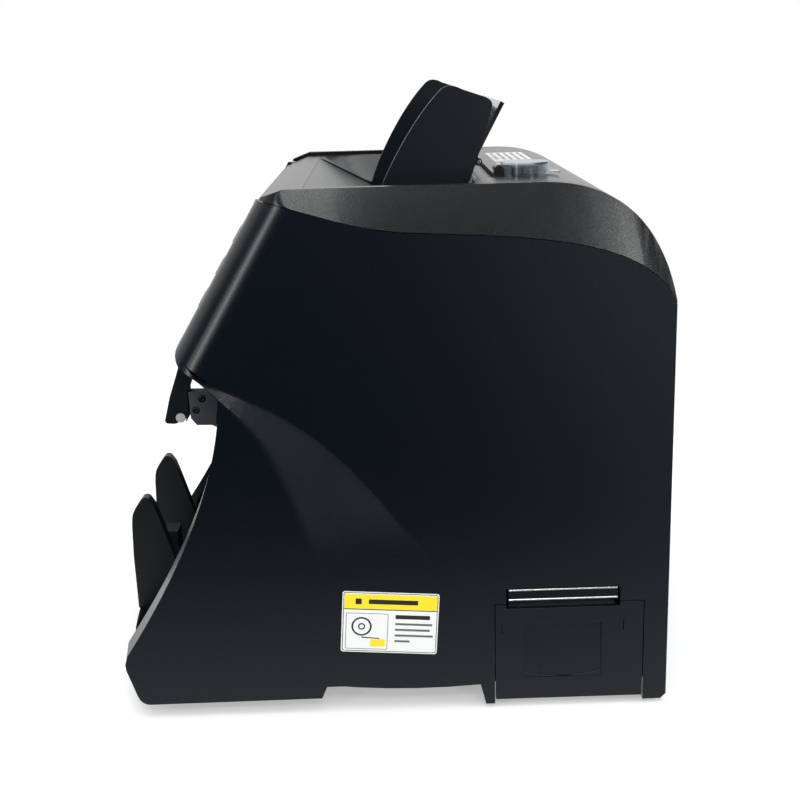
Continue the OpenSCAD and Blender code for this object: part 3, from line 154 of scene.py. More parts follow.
def disc(radius: float, steps: int = 32) -> list[Point2]:
    """Gives the outline of a disc."""
    turns = (2 * math.pi * k / steps for k in range(steps))
    return [(radius * math.cos(turn), radius * math.sin(turn)) for turn in turns]


def rounded_box(width: float, height: float, radius: float, steps: int = 5) -> list[Point2]:
    """Gives the outline of a box with round corners, centred on the origin.

    Args:
        width: Size along the first axis.
        height: Size along the second axis.
        radius: Radius of the corners, 0 for sharp ones.
        steps: Steps round each corner.

    Returns:
        Points, counter-clockwise.
    """
    corners = ((1, -1), (1, 1), (-1, 1), (-1, -1))
    if radius <= 0:
        return [(a * width / 2, b * height / 2) for a, b in corners]
    points = []
    for quarter, (a, b) in enumerate(corners):
        for k in range(steps + 1):
            turn = math.radians(-90 + 90 * quarter + 90 * k / steps)
            points.append((a * (width / 2 - radius) + radius * math.cos(turn),
                           b * (height / 2 - radius) + radius * math.sin(turn)))
    return points


def bezier(points: Outline, steps: int) -> list[Point2]:
    """Gives points along a quadratic or cubic curve.

    Args:
        points: Three or four control points.
        steps: Number of steps along the curve.

    Returns:
        The points, both ends included.
    """
    result = []
    for k in range(steps + 1):
        row = [Vector(point) for point in points]
        while len(row) > 1:
            row = [a.lerp(b, k / steps) for a, b in zip(row, row[1:])]
        result.append((row[0].x, row[0].y))
    return result


# Shader wiring


class Wiring:
    """Adds and joins the nodes of one material, world or node group."""

    def __init__(self, tree: Tree) -> None:
        """Keeps the tree that nodes are added to."""
        self.tree = tree

    def add(self, kind: str, **values: object) -> Node:
        """Adds a node and sets its properties and unlinked sockets.

        Args:
            kind: Blender's name of the node type.
            **values: Properties of the node, or sockets by name with spaces as underscores.

        Returns:
            The new node.
        """
        node = self.tree.nodes.new(kind)
        for key, value in values.items():
            name = key.replace("_", " ")
            if key in node.bl_rna.properties:
                setattr(node, key, value)
            elif name in node.inputs:
                node.inputs[name].default_value = value
            else:
                raise KeyError(f"{kind} has no {key}")
        return node

    def put(self, value: object, target: Socket) -> None:
        """Links a socket into the target, or sets the target to a constant."""
        if isinstance(value, Socket):
            self.tree.links.new(value, target)
        else:
            target.default_value = value

    def math(self, operation: str, first: object, second: object = 0.0, clamp: bool = False) -> Socket:
        """Adds a math node.

        Args:
            operation: Blender's name of the operation.
            first: Socket or number.
            second: Socket or number.
            clamp: Whether the result is kept between 0 and 1.

        Returns:
            The result's socket.
        """
        node = self.add("ShaderNodeMath", operation=operation, use_clamp=clamp)
        self.put(first, node.inputs[0])
        self.put(second, node.inputs[1])
        return node.outputs[0]

    def times(self, first: object, second: object, clamp: bool = False) -> Socket:
        """Multiplies two values."""
        return self.math("MULTIPLY", first, second, clamp)

    def plus(self, first: object, second: object, clamp: bool = False) -> Socket:
        """Adds two values."""
        return self.math("ADD", first, second, clamp)

    def minus(self, first: object, second: object) -> Socket:
        """Takes the second value from the first."""
        return self.math("SUBTRACT", first, second)

    def mix(self, factor: object, first: object, second: object) -> Socket:
        """Mixes two colours.

        Args:
            factor: Socket or number.
            first: Socket or colour at factor 0.
            second: Socket or colour at factor 1.

        Returns:
            The mixed colour's socket.
        """
        node = self.add("ShaderNodeMix", data_type="RGBA")
        colours = [socket for socket in node.inputs if socket.type == "RGBA"]
        self.put(factor, node.inputs[0])
        self.put(first, colours[0])
        self.put(second, colours[1])
        return next(socket for socket in node.outputs if socket.type == "RGBA")

    def ramp(self, value: Socket, low: float, high: float) -> Socket:
        """Maps low to 0 and high to 1, smoothly and clamped.

        Args:
            value: Socket of the value.
            low: Value that becomes 0.
            high: Value that becomes 1.

        Returns:
            The mapped value's socket.
        """
        node = self.add("ShaderNodeMapRange", interpolation_type="SMOOTHSTEP", From_Min=low, From_Max=high)
        self.put(value, node.inputs["Value"])
        return node.outputs["Result"]

    def curve(self, value: Socket, points: Iterable[Sequence[float]]) -> Socket:
        """Maps a length through a curve, all in metres within half a metre of 0.

        Args:
            value: Socket of the length that is looked up.
            points: Length looked up and length given, at each point.

        Returns:
            The given length's socket.
        """
        node = self.add("ShaderNodeFloatCurve")
        line = node.mapping.curves[0]
        places = sorted((0.5 + first, 0.5 + second) for first, second in points)
        line.points[0].location = (0.0, places[0][1])
        line.points[1].location = (1.0, places[-1][1])
        for first, second in places:
            line.points.new(first, second)
        node.mapping.update()
        self.put(self.plus(value, 0.5), node.inputs["Value"])
        return self.minus(node.outputs["Value"], 0.5)

    def noise(self, place: Socket, scale: object, detail: float, roughness: float) -> Socket:
        """Adds a noise texture.

        Args:
            place: Socket of the coordinates.
            scale: Scale, a socket or a number.
            detail: Octaves of the noise.
            roughness: Strength of each finer octave.

        Returns:
            Socket of the noise, 0 to 1.
        """
        node = self.add("ShaderNodeTexNoise", Detail=detail, Roughness=roughness)
        self.put(place, node.inputs["Vector"])
        self.put(scale, node.inputs["Scale"])
        return node.outputs["Fac"]

    def parts(self, vector: Socket) -> tuple[Socket, Socket, Socket]:
        """Gives the X, Y and Z sockets of a vector."""
        node = self.add("ShaderNodeSeparateXYZ")
        self.put(vector, node.inputs["Vector"])
        return tuple(node.outputs)


class Effect(str, Enum):
    """Shader node groups that several materials share, each named as the method that builds it."""

    GRAIN = "fine_grain"
    WEAR = "edge_wear"
    BRUSHED = "brushed_lines"
    DUST = "dust_film"
    DRIFT = "colour_drift"
    SCUFFS = "hair_scuffs"
    # Painted highlight on the side covers' sweep
    SWEEP_HIGHLIGHT = "painted_sweep_highlight"


class EffectBook:
    """Builds each shared shader group once and hands it out."""

    def __init__(self) -> None:
        """Starts with no group built."""
        self.groups: dict[Effect, Tree] = {}

    def group(self, effect: Effect) -> Tree:
        """Gives the group of an effect, building it at its first use.

        Args:
            effect: The effect wanted.

        Returns:
            The shader node group.
        """
        if effect not in self.groups:
            self.groups[effect] = getattr(self, effect.value)()
        return self.groups[effect]

    @staticmethod
    def open_group(effect: Effect, outputs: Sequence[str], **inputs: object) -> tuple[Wiring, Node, Node]:
        """Makes an empty group with a Place input and named sockets.

        Args:
            effect: The effect that the group makes.
            outputs: Names of the outputs. Color is a colour and the others are numbers.
            **inputs: Default of each further input by name: a number, a vector or a colour.

        Returns:
            The group's wiring, its input node and its output node.
        """
        tree = bpy.data.node_groups.new(effect.value, "ShaderNodeTree")
        tree.interface.new_socket("Place", in_out="INPUT", socket_type="NodeSocketVector")
        for name, default in inputs.items():
            size = 1 if isinstance(default, float) else len(default)
            kind = {1: "NodeSocketFloat", 3: "NodeSocketVector", 4: "NodeSocketColor"}[size]
            tree.interface.new_socket(name, in_out="INPUT", socket_type=kind).default_value = default
        for name in outputs:
            kind = "NodeSocketColor" if name == "Color" else "NodeSocketFloat"
            tree.interface.new_socket(name, in_out="OUTPUT", socket_type=kind)
        wires = Wiring(tree)
        return wires, wires.add("NodeGroupInput"), wires.add("NodeGroupOutput")

    def fine_grain(self) -> Tree:
        """Moulded texture: small soft pits and bumps.

        Returns:
            Group with Place and Scale in, and Height and Tone out.
        """
        wires, source, sink = self.open_group(Effect.GRAIN, ("Height", "Tone"), Scale=1800.0)
        place, scale = source.outputs["Place"], source.outputs["Scale"]
        noise = wires.noise(place, scale, 3.0, 0.6)
        cells = wires.add("ShaderNodeTexVoronoi", feature="SMOOTH_F1", Smoothness=0.6)
        wires.put(place, cells.inputs["Vector"])
        wires.put(scale, cells.inputs["Scale"])
        height = wires.plus(wires.times(noise, 0.6), wires.times(cells.outputs["Distance"], 0.5))
        wires.put(height, sink.inputs["Height"])
        wires.put(noise, sink.inputs["Tone"])
        return wires.tree

    def edge_wear(self) -> Tree:
        """Mask along sharp edges where handling polishes a surface.

        Returns:
            Group with Place and Amount in, and Mask out.
        """
        wires, source, sink = self.open_group(Effect.WEAR, ("Mask",), Amount=1.0)
        rounded = wires.add("ShaderNodeBevel", samples=3, Radius=1.2 * MM)
        plain = wires.add("ShaderNodeNewGeometry")
        dot = wires.add("ShaderNodeVectorMath", operation="DOT_PRODUCT")
        wires.put(rounded.outputs["Normal"], dot.inputs[0])
        wires.put(plain.outputs["Normal"], dot.inputs[1])
        edge = wires.ramp(dot.outputs["Value"], 0.995, 0.90)
        patchy = wires.ramp(wires.noise(source.outputs["Place"], 160.0, 4.0, 0.7), 0.38, 0.66)
        mask = wires.times(wires.times(edge, patchy), source.outputs["Amount"], True)
        wires.put(mask, sink.inputs["Mask"])
        return wires.tree

    def brushed_lines(self) -> Tree:
        """Fine parallel lines left by rolling, grinding or brushing.

        Returns:
            Group with Place and Stretch in, and Height and Tone out.
        """
        wires, source, sink = self.open_group(
            Effect.BRUSHED, ("Height", "Tone"), Stretch=(40.0, 4000.0, 4000.0))
        scaled = wires.add("ShaderNodeVectorMath", operation="MULTIPLY")
        wires.put(source.outputs["Place"], scaled.inputs[0])
        wires.put(source.outputs["Stretch"], scaled.inputs[1])
        lines = wires.noise(scaled.outputs["Vector"], 1.0, 2.0, 0.7)
        wires.put(lines, sink.inputs["Height"])
        wires.put(lines, sink.inputs["Tone"])
        return wires.tree

    def dust_film(self) -> Tree:
        """Thin dust that settles on surfaces facing up.

        Returns:
            Group with Place and Amount in, and Mask out.
        """
        wires, source, sink = self.open_group(Effect.DUST, ("Mask",), Amount=0.1)
        plain = wires.add("ShaderNodeNewGeometry")
        upward = wires.ramp(wires.parts(plain.outputs["Normal"])[2], 0.25, 1.0)
        broad = wires.ramp(wires.noise(source.outputs["Place"], 28.0, 5.0, 0.65), 0.3, 0.75)
        specks = wires.ramp(wires.noise(source.outputs["Place"], 2600.0, 2.0, 0.5), 0.42, 0.68)
        film = wires.times(wires.times(broad, specks), upward)
        wires.put(wires.times(film, source.outputs["Amount"], True), sink.inputs["Mask"])
        return wires.tree

    def colour_drift(self) -> Tree:
        """Slow change of brightness over a surface, so that it is never one flat colour.

        Returns:
            Group with Place, Base, Scale and Amount in, and Color out.
        """
        wires, source, sink = self.open_group(
            Effect.DRIFT, ("Color",), Base=(0.1, 0.1, 0.1, 1.0), Scale=14.0, Amount=0.15)
        noise = wires.noise(source.outputs["Place"], source.outputs["Scale"], 4.0, 0.6)
        swing = wires.times(wires.minus(noise, 0.5), 2.0)
        shade = wires.add("ShaderNodeHueSaturation")
        wires.put(source.outputs["Base"], shade.inputs["Color"])
        wires.put(wires.plus(wires.times(swing, source.outputs["Amount"]), 1.0), shade.inputs["Value"])
        wires.put(shade.outputs["Color"], sink.inputs["Color"])
        return wires.tree

    def hair_scuffs(self) -> Tree:
        """Sparse hairline marks from cleaning and handling.

        Returns:
            Group with Place and Amount in, and Mask out.
        """
        wires, source, sink = self.open_group(Effect.SCUFFS, ("Mask",), Amount=0.2)
        masks = []
        for turn, stretch in ((0.5, (30.0, 900.0, 900.0)), (2.2, (900.0, 60.0, 700.0))):
            place = wires.add("ShaderNodeMapping", vector_type="POINT", Scale=stretch)
            place.inputs["Rotation"].default_value = (turn, turn * 0.7, turn * 1.3)
            wires.put(source.outputs["Place"], place.inputs["Vector"])
            masks.append(wires.ramp(wires.noise(place.outputs["Vector"], 1.0, 1.0, 0.4), 0.70, 0.76))
        both = wires.math("MAXIMUM", *masks)
        wires.put(wires.times(both, source.outputs["Amount"], True), sink.inputs["Mask"])
        return wires.tree

    def painted_sweep_highlight(self) -> Tree:
        """Mask of the painted highlight on the long sweep recessed into each side cover, standing in for the
        light that its tilted face catches.

        Returns:
            Group with Place in and Mask out.
        """
        wires, source, sink = self.open_group(Effect.SWEEP_HIGHLIGHT, ("Mask",))
        _, along, high = wires.parts(source.outputs["Place"])
        upper, lower = (
            wires.curve(high, [at(0, y, z).zy for y, z in bezier(edge, 10)])
            for edge in (SWEEP_UPPER, SWEEP_LOWER))
        # Painted highlight between the sweep's two edges, faded out towards its lower end and made uneven by
        # noise
        inside = wires.ramp(wires.minus(upper, along), -0.4 * MM, 0.8 * MM)
        past = wires.ramp(wires.minus(along, lower), -1.5 * MM, 6 * MM)
        fade = wires.ramp(high, 84 * MM, 125 * MM)
        shape = wires.times(wires.times(inside, past), fade)
        tone = wires.plus(wires.times(wires.noise(source.outputs["Place"], 22.0, 3.0, 0.5), 0.3), 0.8)
        wires.put(wires.times(shape, tone, True), sink.inputs["Mask"])
        return wires.tree


BOOK = EffectBook()


class MaterialDesk:
    """Opens a material with its Principled BSDF and object coordinates ready."""

    def __init__(self, name: str) -> None:
        """Makes the material and its fixed nodes.

        Args:
            name: Name of the material.
        """
        self.material = bpy.data.materials.new(name)
        self.material.use_nodes = True
        self.material.node_tree.nodes.clear()
        self.wires = Wiring(self.material.node_tree)
        self.shader = self.wires.add("ShaderNodeBsdfPrincipled")
        self.sink = self.wires.add("ShaderNodeOutputMaterial")
        self.wires.put(self.shader.outputs[0], self.sink.inputs["Surface"])
        self.place = self.wires.add("ShaderNodeTexCoord").outputs["Object"]

    def effect(self, effect: Effect, **values: object) -> Node:
        """Places a shared group in the material.

        Args:
            effect: The effect wanted.
            **values: The group's inputs by name.

        Returns:
            The group's node.
        """
        node = self.wires.add("ShaderNodeGroup", node_tree=BOOK.group(effect))
        self.wires.put(self.place, node.inputs["Place"])
        for key, value in values.items():
            node.inputs[key].default_value = value
        return node

    def fix(self, **values: object) -> None:
        """Sets constants on the shader's own sockets."""
        for key, value in values.items():
            self.shader.inputs[key.replace("_", " ")].default_value = value

    def feed(self, name: str, socket: Socket) -> None:
        """Links a socket into the shader."""
        self.wires.put(socket, self.shader.inputs[name])

    def bump(self, height: Socket, depth: float) -> None:
        """Links a height into the shader's normal.

        Args:
            height: Socket of the height, 0 to 1.
            depth: Depth of the relief in micrometres.
        """
        node = self.wires.add("ShaderNodeBump", Distance=depth * MICRON, Strength=1.0)
        self.wires.put(height, node.inputs["Height"])
        self.feed("Normal", node.outputs["Normal"])


# Finishes


@dataclass(frozen=True)
class Finish:
    """Recipe of one material.

    Attributes:
        name: Name of the material.
    """

    name: str

    def build(self) -> Material:
        """Builds the material.

        Returns:
            The finished material.
        """
        desk = MaterialDesk(self.name)
        self.paint(desk, desk.wires)
        return desk.material

    def paint(self, desk: MaterialDesk, wires: Wiring) -> None:
        """Wires the looks into the open material.

        Args:
            desk: The open material.
            wires: Its wiring.
        """
        raise NotImplementedError


@dataclass(frozen=True)
class PlasticFinish(Finish):
    """Moulded plastic with a grain, worn edges and a little dust.

    Attributes:
        colour: Linear base colour.
        roughness: Middle roughness.
        specular: Specular level of the shader.
        grain: Cells of the texture to the metre.
        depth: Depth of the texture in micrometres.
        wear: How much the edges are polished.
        dust: How much dust shows.
        scuffs: How many hairline marks show.
        coat: Weight of a glossy top layer.
        sweep: How strongly the painted highlight shows on the side cover's recessed sweep.
    """

    colour: Colour
    roughness: float
    specular: float = 0.5
    grain: float = 900.0
    depth: float = 20.0
    wear: float = 0.3
    dust: float = 0.05
    scuffs: float = 0.05
    coat: float = 0.0
    sweep: float = 0.0
    DUST_TONE: ClassVar[Colour] = srgb(176, 172, 164)
    # Colour of the painted highlight on the side cover's sweep
    SWEEP_HIGHLIGHT_TONE: ClassVar[Colour] = srgb(58, 62, 64)

    def paint(self, desk: MaterialDesk, wires: Wiring) -> None:
        """Wires the looks into the open material."""
        desk.fix(Specular_IOR_Level=self.specular, Coat_Weight=self.coat, Coat_Roughness=0.06)
        base = desk.effect(Effect.DRIFT, Base=self.colour, Amount=0.12).outputs["Color"]
        wear = desk.effect(Effect.WEAR, Amount=self.wear).outputs["Mask"]
        dust = desk.effect(Effect.DUST, Amount=self.dust).outputs["Mask"]
        scuff = desk.effect(Effect.SCUFFS, Amount=self.scuffs).outputs["Mask"]
        grain = desk.effect(Effect.GRAIN, Scale=self.grain)
        lighter = toned(self.colour, 1.6, 0.006)
        # Painted highlight: the sweep is made lighter, standing in for the light that its tilted face catches
        if self.sweep:
            highlight_mask = desk.effect(Effect.SWEEP_HIGHLIGHT).outputs["Mask"]
            base = wires.mix(wires.times(highlight_mask, self.sweep), base, self.SWEEP_HIGHLIGHT_TONE)
        marked = wires.mix(scuff, wires.mix(wear, base, lighter), lighter)
        desk.feed("Base Color", wires.mix(dust, marked, self.DUST_TONE))
        rough = wires.plus(wires.times(wires.minus(grain.outputs["Tone"], 0.5), 0.16), self.roughness)
        rough = wires.minus(rough, wires.times(wear, 0.14))
        desk.feed("Roughness", wires.plus(rough, wires.times(dust, 0.5), True))
        desk.bump(grain.outputs["Height"], self.depth)


@dataclass(frozen=True)
class MetalFinish(Finish):
    """Bare or plated metal with working lines.

    Attributes:
        colour: Linear colour of the metal.
        roughness: Middle roughness.
        depth: Depth of the lines in micrometres.
        stretch: Scale of the lines along X, Y and Z.
        spangle: Share of crystal patches, as on zinc plate.
    """

    colour: Colour
    roughness: float
    depth: float = 4.0
    stretch: Point3 = (900.0, 900.0, 900.0)
    spangle: float = 0.0
    DUST_TONE: ClassVar[Colour] = srgb(150, 146, 138)

    def paint(self, desk: MaterialDesk, wires: Wiring) -> None:
        """Wires the looks into the open material."""
        desk.fix(Metallic=1.0)
        colour = desk.effect(Effect.DRIFT, Base=self.colour, Amount=0.1, Scale=40.0).outputs["Color"]
        lines = desk.effect(Effect.BRUSHED, Stretch=self.stretch)
        wear = desk.effect(Effect.WEAR, Amount=0.5).outputs["Mask"]
        dust = desk.effect(Effect.DUST, Amount=0.05).outputs["Mask"]
        rough = wires.plus(wires.times(lines.outputs["Tone"], 0.2), self.roughness - 0.1)
        if self.spangle:
            cells = wires.add("ShaderNodeTexVoronoi", Scale=220.0)
            wires.put(desk.place, cells.inputs["Vector"])
            patch = wires.times(cells.outputs["Color"], self.spangle)
            colour = wires.mix(patch, colour, toned(self.colour, 0.6))
            rough = wires.plus(rough, wires.times(patch, 0.3))
        colour = wires.mix(wear, colour, toned(self.colour, 1.25))
        desk.feed("Base Color", wires.mix(dust, colour, self.DUST_TONE))
        desk.feed("Roughness", wires.plus(rough, wires.times(dust, 0.5), True))
        desk.bump(lines.outputs["Height"], self.depth)


@dataclass(frozen=True)
class RubberFinish(Finish):
    """Matt rubber with fine moulding pits and lint.

    Attributes:
        colour: Linear base colour.
        roughness: Middle roughness.
        lint: How much paper dust sticks to it.
    """

    colour: Colour
    roughness: float
    lint: float
    LINT_TONE: ClassVar[Colour] = srgb(150, 148, 142)
    WORN_TONE: ClassVar[Colour] = srgb(84, 84, 84)

    def paint(self, desk: MaterialDesk, wires: Wiring) -> None:
        """Wires the looks into the open material."""
        desk.fix(Specular_IOR_Level=0.35)
        drift = desk.effect(Effect.DRIFT, Base=self.colour, Amount=0.18, Scale=60.0)
        grain = desk.effect(Effect.GRAIN, Scale=900.0)
        wear = desk.effect(Effect.WEAR, Amount=0.5).outputs["Mask"]
        lint = wires.times(wires.ramp(grain.outputs["Tone"], 0.58, 0.74), self.lint)
        colour = wires.mix(lint, drift.outputs["Color"], self.LINT_TONE)
        desk.feed("Base Color", wires.mix(wear, colour, self.WORN_TONE))
        desk.feed("Roughness", wires.plus(wires.times(grain.outputs["Tone"], 0.2), self.roughness - 0.1))
        desk.bump(grain.outputs["Height"], 80.0)


@dataclass(frozen=True)
class ClearFinish(Finish):
    """Clear or tinted moulded plastic that light passes through.

    Attributes:
        tint: Linear colour of the light that passes.
        roughness: Middle roughness.
        index: Refractive index.
    """

    tint: Colour
    roughness: float
    index: float = 1.49

    def paint(self, desk: MaterialDesk, wires: Wiring) -> None:
        """Wires the looks into the open material."""
        desk.fix(Transmission_Weight=1.0, IOR=self.index, Metallic=0.0)
        drift = desk.effect(Effect.DRIFT, Base=self.tint, Amount=0.05, Scale=60.0)
        scuff = desk.effect(Effect.SCUFFS, Amount=0.4)
        grain = desk.effect(Effect.GRAIN, Scale=300.0)
        desk.feed("Base Color", drift.outputs["Color"])
        desk.feed("Roughness", wires.plus(wires.times(scuff.outputs["Mask"], 0.3), self.roughness, True))
        desk.bump(grain.outputs["Height"], 10.0)


@dataclass(frozen=True)
class PaperFinish(Finish):
    """Paper, card or printed film.

    Attributes:
        colour: Linear base colour.
        roughness: Middle roughness.
        fibre: How much the fibres show.
        sheen: Weight of a glossy film over the print.
    """

    colour: Colour
    roughness: float
    fibre: float
    sheen: float = 0.4

    def paint(self, desk: MaterialDesk, wires: Wiring) -> None:
        """Wires the looks into the open material."""
        desk.fix(Coat_Weight=self.sheen, Coat_Roughness=0.12)
        drift = desk.effect(Effect.DRIFT, Base=self.colour, Amount=0.05, Scale=50.0)
        grain = desk.effect(Effect.GRAIN, Scale=2200.0)
        scuff = desk.effect(Effect.SCUFFS, Amount=0.12).outputs["Mask"]
        fibres = wires.times(wires.ramp(grain.outputs["Tone"], 0.35, 0.7), self.fibre)
        darker = toned(self.colour, 0.7)
        desk.feed("Base Color", wires.mix(scuff, wires.mix(fibres, drift.outputs["Color"], darker), darker))
        rough = wires.plus(wires.times(grain.outputs["Tone"], 0.15), self.roughness - 0.07, True)
        desk.feed("Roughness", rough)
        desk.bump(grain.outputs["Height"], 30.0)


@dataclass(frozen=True)
class RollFinish(Finish):
    """Side of a wound paper roll: rings of edges round a card core.

    Attributes:
        centre: Point on the roll's axis in metres.
        core: Radius of the card core in metres, its card included.
    """

    centre: Vector
    core: float

    def paint(self, desk: MaterialDesk, wires: Wiring) -> None:
        """Wires the looks into the open material."""
        x, _, z = wires.parts(desk.place)
        dx, dz = wires.minus(x, self.centre.x), wires.minus(z, self.centre.z)
        radius = wires.math("SQRT", wires.plus(wires.times(dx, dx), wires.times(dz, dz)))
        grain = desk.effect(Effect.GRAIN, Scale=1500.0)
        rings = wires.times(wires.plus(wires.math("SINE", wires.times(radius, 14000.0)), 1.0), 0.5)
        paper = wires.mix(wires.times(rings, 0.22), srgb(240, 240, 236), srgb(176, 174, 168))
        card = wires.math("LESS_THAN", radius, self.core)
        desk.feed("Base Color", wires.mix(card, paper, srgb(168, 140, 104)))
        desk.feed("Roughness", wires.plus(wires.times(grain.outputs["Tone"], 0.2), 0.6))
        desk.bump(wires.plus(rings, grain.outputs["Height"]), 60.0)


@dataclass(frozen=True)
class BoardFinish(Finish):
    """Circuit board with solder mask, copper tracks and pads.

    Attributes:
        mask: Linear colour of the solder mask.
    """

    mask: Colour

    def paint(self, desk: MaterialDesk, wires: Wiring) -> None:
        """Wires the looks into the open material."""
        drift = desk.effect(Effect.DRIFT, Base=self.mask, Amount=0.12, Scale=30.0)
        grain = desk.effect(Effect.GRAIN, Scale=700.0)
        tracks = wires.add("ShaderNodeTexBrick", Scale=90.0)
        dots = wires.add("ShaderNodeTexVoronoi", Scale=420.0, Randomness=0.25)
        for node in (tracks, dots):
            wires.put(desk.place, node.inputs["Vector"])
        line = wires.ramp(tracks.outputs["Fac"], 0.3, 0.7)
        pads = wires.ramp(dots.outputs["Distance"], 0.16, 0.12)
        colour = wires.mix(wires.times(line, 0.6), drift.outputs["Color"], toned(self.mask, 1.7, 0.01))
        desk.feed("Base Color", wires.mix(wires.times(pads, 0.7), colour, srgb(196, 190, 170)))
        desk.feed("Roughness", wires.minus(0.42, wires.times(pads, 0.12)))
        desk.bump(wires.plus(wires.times(line, 0.5), grain.outputs["Height"]), 40.0)


class Finishes:
    """All finishes of the machine, each built once."""

    def __init__(self) -> None:
        """Builds every material."""
        self.plastics()
        self.metals()
        self.others()

    def plastics(self) -> None:
        """Builds the plastics."""
        black = srgb(3, 12, 20)
        self.casing = PlasticFinish("textured_black_casing", black, 0.33, specular=0.40, grain=2100.0,
                                    dust=0.012, scuffs=0.02).build()
        # The side covers' finish carries the painted highlight on their sweep
        self.side = PlasticFinish("side_cover_plastic", black, 0.27, specular=0.40, grain=2100.0,
                                  wear=0.2, dust=0.004, scuffs=0.02, sweep=0.22).build()
        self.top = PlasticFinish("textured_black_top", srgb(8, 14, 18), 0.28, specular=0.46, grain=2100.0,
                                 wear=0.25, dust=0.015, scuffs=0.03).build()
        self.black = PlasticFinish("satin_black_plastic", srgb(5, 12, 18), 0.40, specular=0.32,
                                   grain=1500.0, depth=25.0, wear=0.5, dust=0.03).build()
        self.dull = PlasticFinish("dull_block_plastic", srgb(44, 49, 54), 0.55, specular=0.4,
                                  grain=1500.0, depth=30.0, wear=0.5).build()
        self.smoked = PlasticFinish("smoked_satin_plastic", srgb(6, 13, 20), 0.30, specular=0.45,
                                    depth=6.0, wear=0.9, dust=0.02, scuffs=0.1).build()
        self.gloss = PlasticFinish("smoked_gloss_plastic", srgb(9, 15, 20), 0.15, grain=700.0, depth=3.0,
                                   wear=0.8, dust=0.02, scuffs=0.1, coat=0.3).build()
        self.window = PlasticFinish("display_window_gloss", srgb(6, 8, 11), 0.08, grain=500.0, depth=2.0,
                                    dust=0.02, scuffs=0.06, coat=0.5).build()
        self.screen = PlasticFinish("screen_area_dark", srgb(22, 28, 32), 0.12, grain=2600.0, depth=2.0,
                                    wear=0.1, dust=0.02, scuffs=0.03, coat=0.5).build()
        self.grey = PlasticFinish("light_grey_plastic", srgb(150, 153, 154), 0.42, grain=1400.0,
                                  depth=30.0, scuffs=0.08).build()
        self.key = PlasticFinish("key_grey_plastic", srgb(112, 116, 120), 0.5, specular=0.45,
                                 grain=1700.0, depth=30.0, wear=0.4, dust=0.04).build()
        self.nylon = PlasticFinish("white_nylon", srgb(214, 212, 200), 0.5, specular=0.45, grain=800.0,
                                   wear=0.1).build()
        self.blade = PlasticFinish("blue_blade_plastic", srgb(42, 92, 140), 0.4, wear=0.4, dust=0.08,
                                   scuffs=0.1).build()
        self.red = PlasticFinish("red_rocker_plastic", srgb(150, 22, 18), 0.32, depth=10.0,
                                 dust=0.04).build()
        self.ceramic = PlasticFinish("head_ceramic", srgb(222, 220, 212), 0.3, grain=600.0, depth=10.0,
                                     wear=0.2).build()

    def metals(self) -> None:
        """Builds the metals."""
        self.zinc = MetalFinish("zinc_plated_steel", srgb(176, 180, 182), 0.42, 8.0, spangle=0.35).build()
        self.ground = MetalFinish("ground_steel", srgb(200, 203, 206), 0.22, 6.0,
                                  (5000.0, 60.0, 60.0)).build()
        self.blade_steel = MetalFinish("polished_tear_steel", srgb(214, 216, 218), 0.16,
                                       stretch=(5000.0, 30.0, 5000.0)).build()
        self.dark_steel = MetalFinish("blackened_steel", srgb(46, 47, 50), 0.38, 5.0).build()
        self.motor = MetalFinish("motor_can_steel", srgb(120, 124, 128), 0.38, 10.0,
                                 (60.0, 3000.0, 3000.0), 0.1).build()
        self.gold = MetalFinish("brass_contact", srgb(212, 175, 96), 0.25).build()

    def others(self) -> None:
        """Builds the rubbers, the clear plastic, the papers, the inks and the board."""
        self.rubber = RubberFinish("roller_rubber", srgb(46, 47, 49), 0.75, 0.15).build()
        self.belt = RubberFinish("belt_rubber", srgb(24, 24, 25), 0.65, 0.08).build()
        self.foot = RubberFinish("foot_rubber", srgb(24, 24, 25), 0.8, 0.12).build()
        self.clear = ClearFinish("clear_cover_plastic", srgb(172, 184, 188), 0.14).build()
        low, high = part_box("paper_roll")
        self.paper = RollFinish("wound_receipt_paper", (low + high) / 2, 7 * MM).build()
        self.white = PaperFinish("label_white_film", srgb(236, 238, 236), 0.45, 0.05).build()
        self.yellow = PaperFinish("label_yellow_print", srgb(246, 222, 20), 0.42, 0.05).build()
        self.ink = PaperFinish("label_black_print", srgb(26, 26, 26), 0.42, 0.1).build()
        self.grey_ink = PaperFinish("label_grey_print", srgb(96, 98, 98), 0.45, 0.1).build()
        self.white_ink = PaperFinish("key_white_print", srgb(226, 228, 228), 0.5, 0.05, 0.0).build()
        self.board = BoardFinish("green_board", srgb(18, 78, 44)).build()


# Shaping


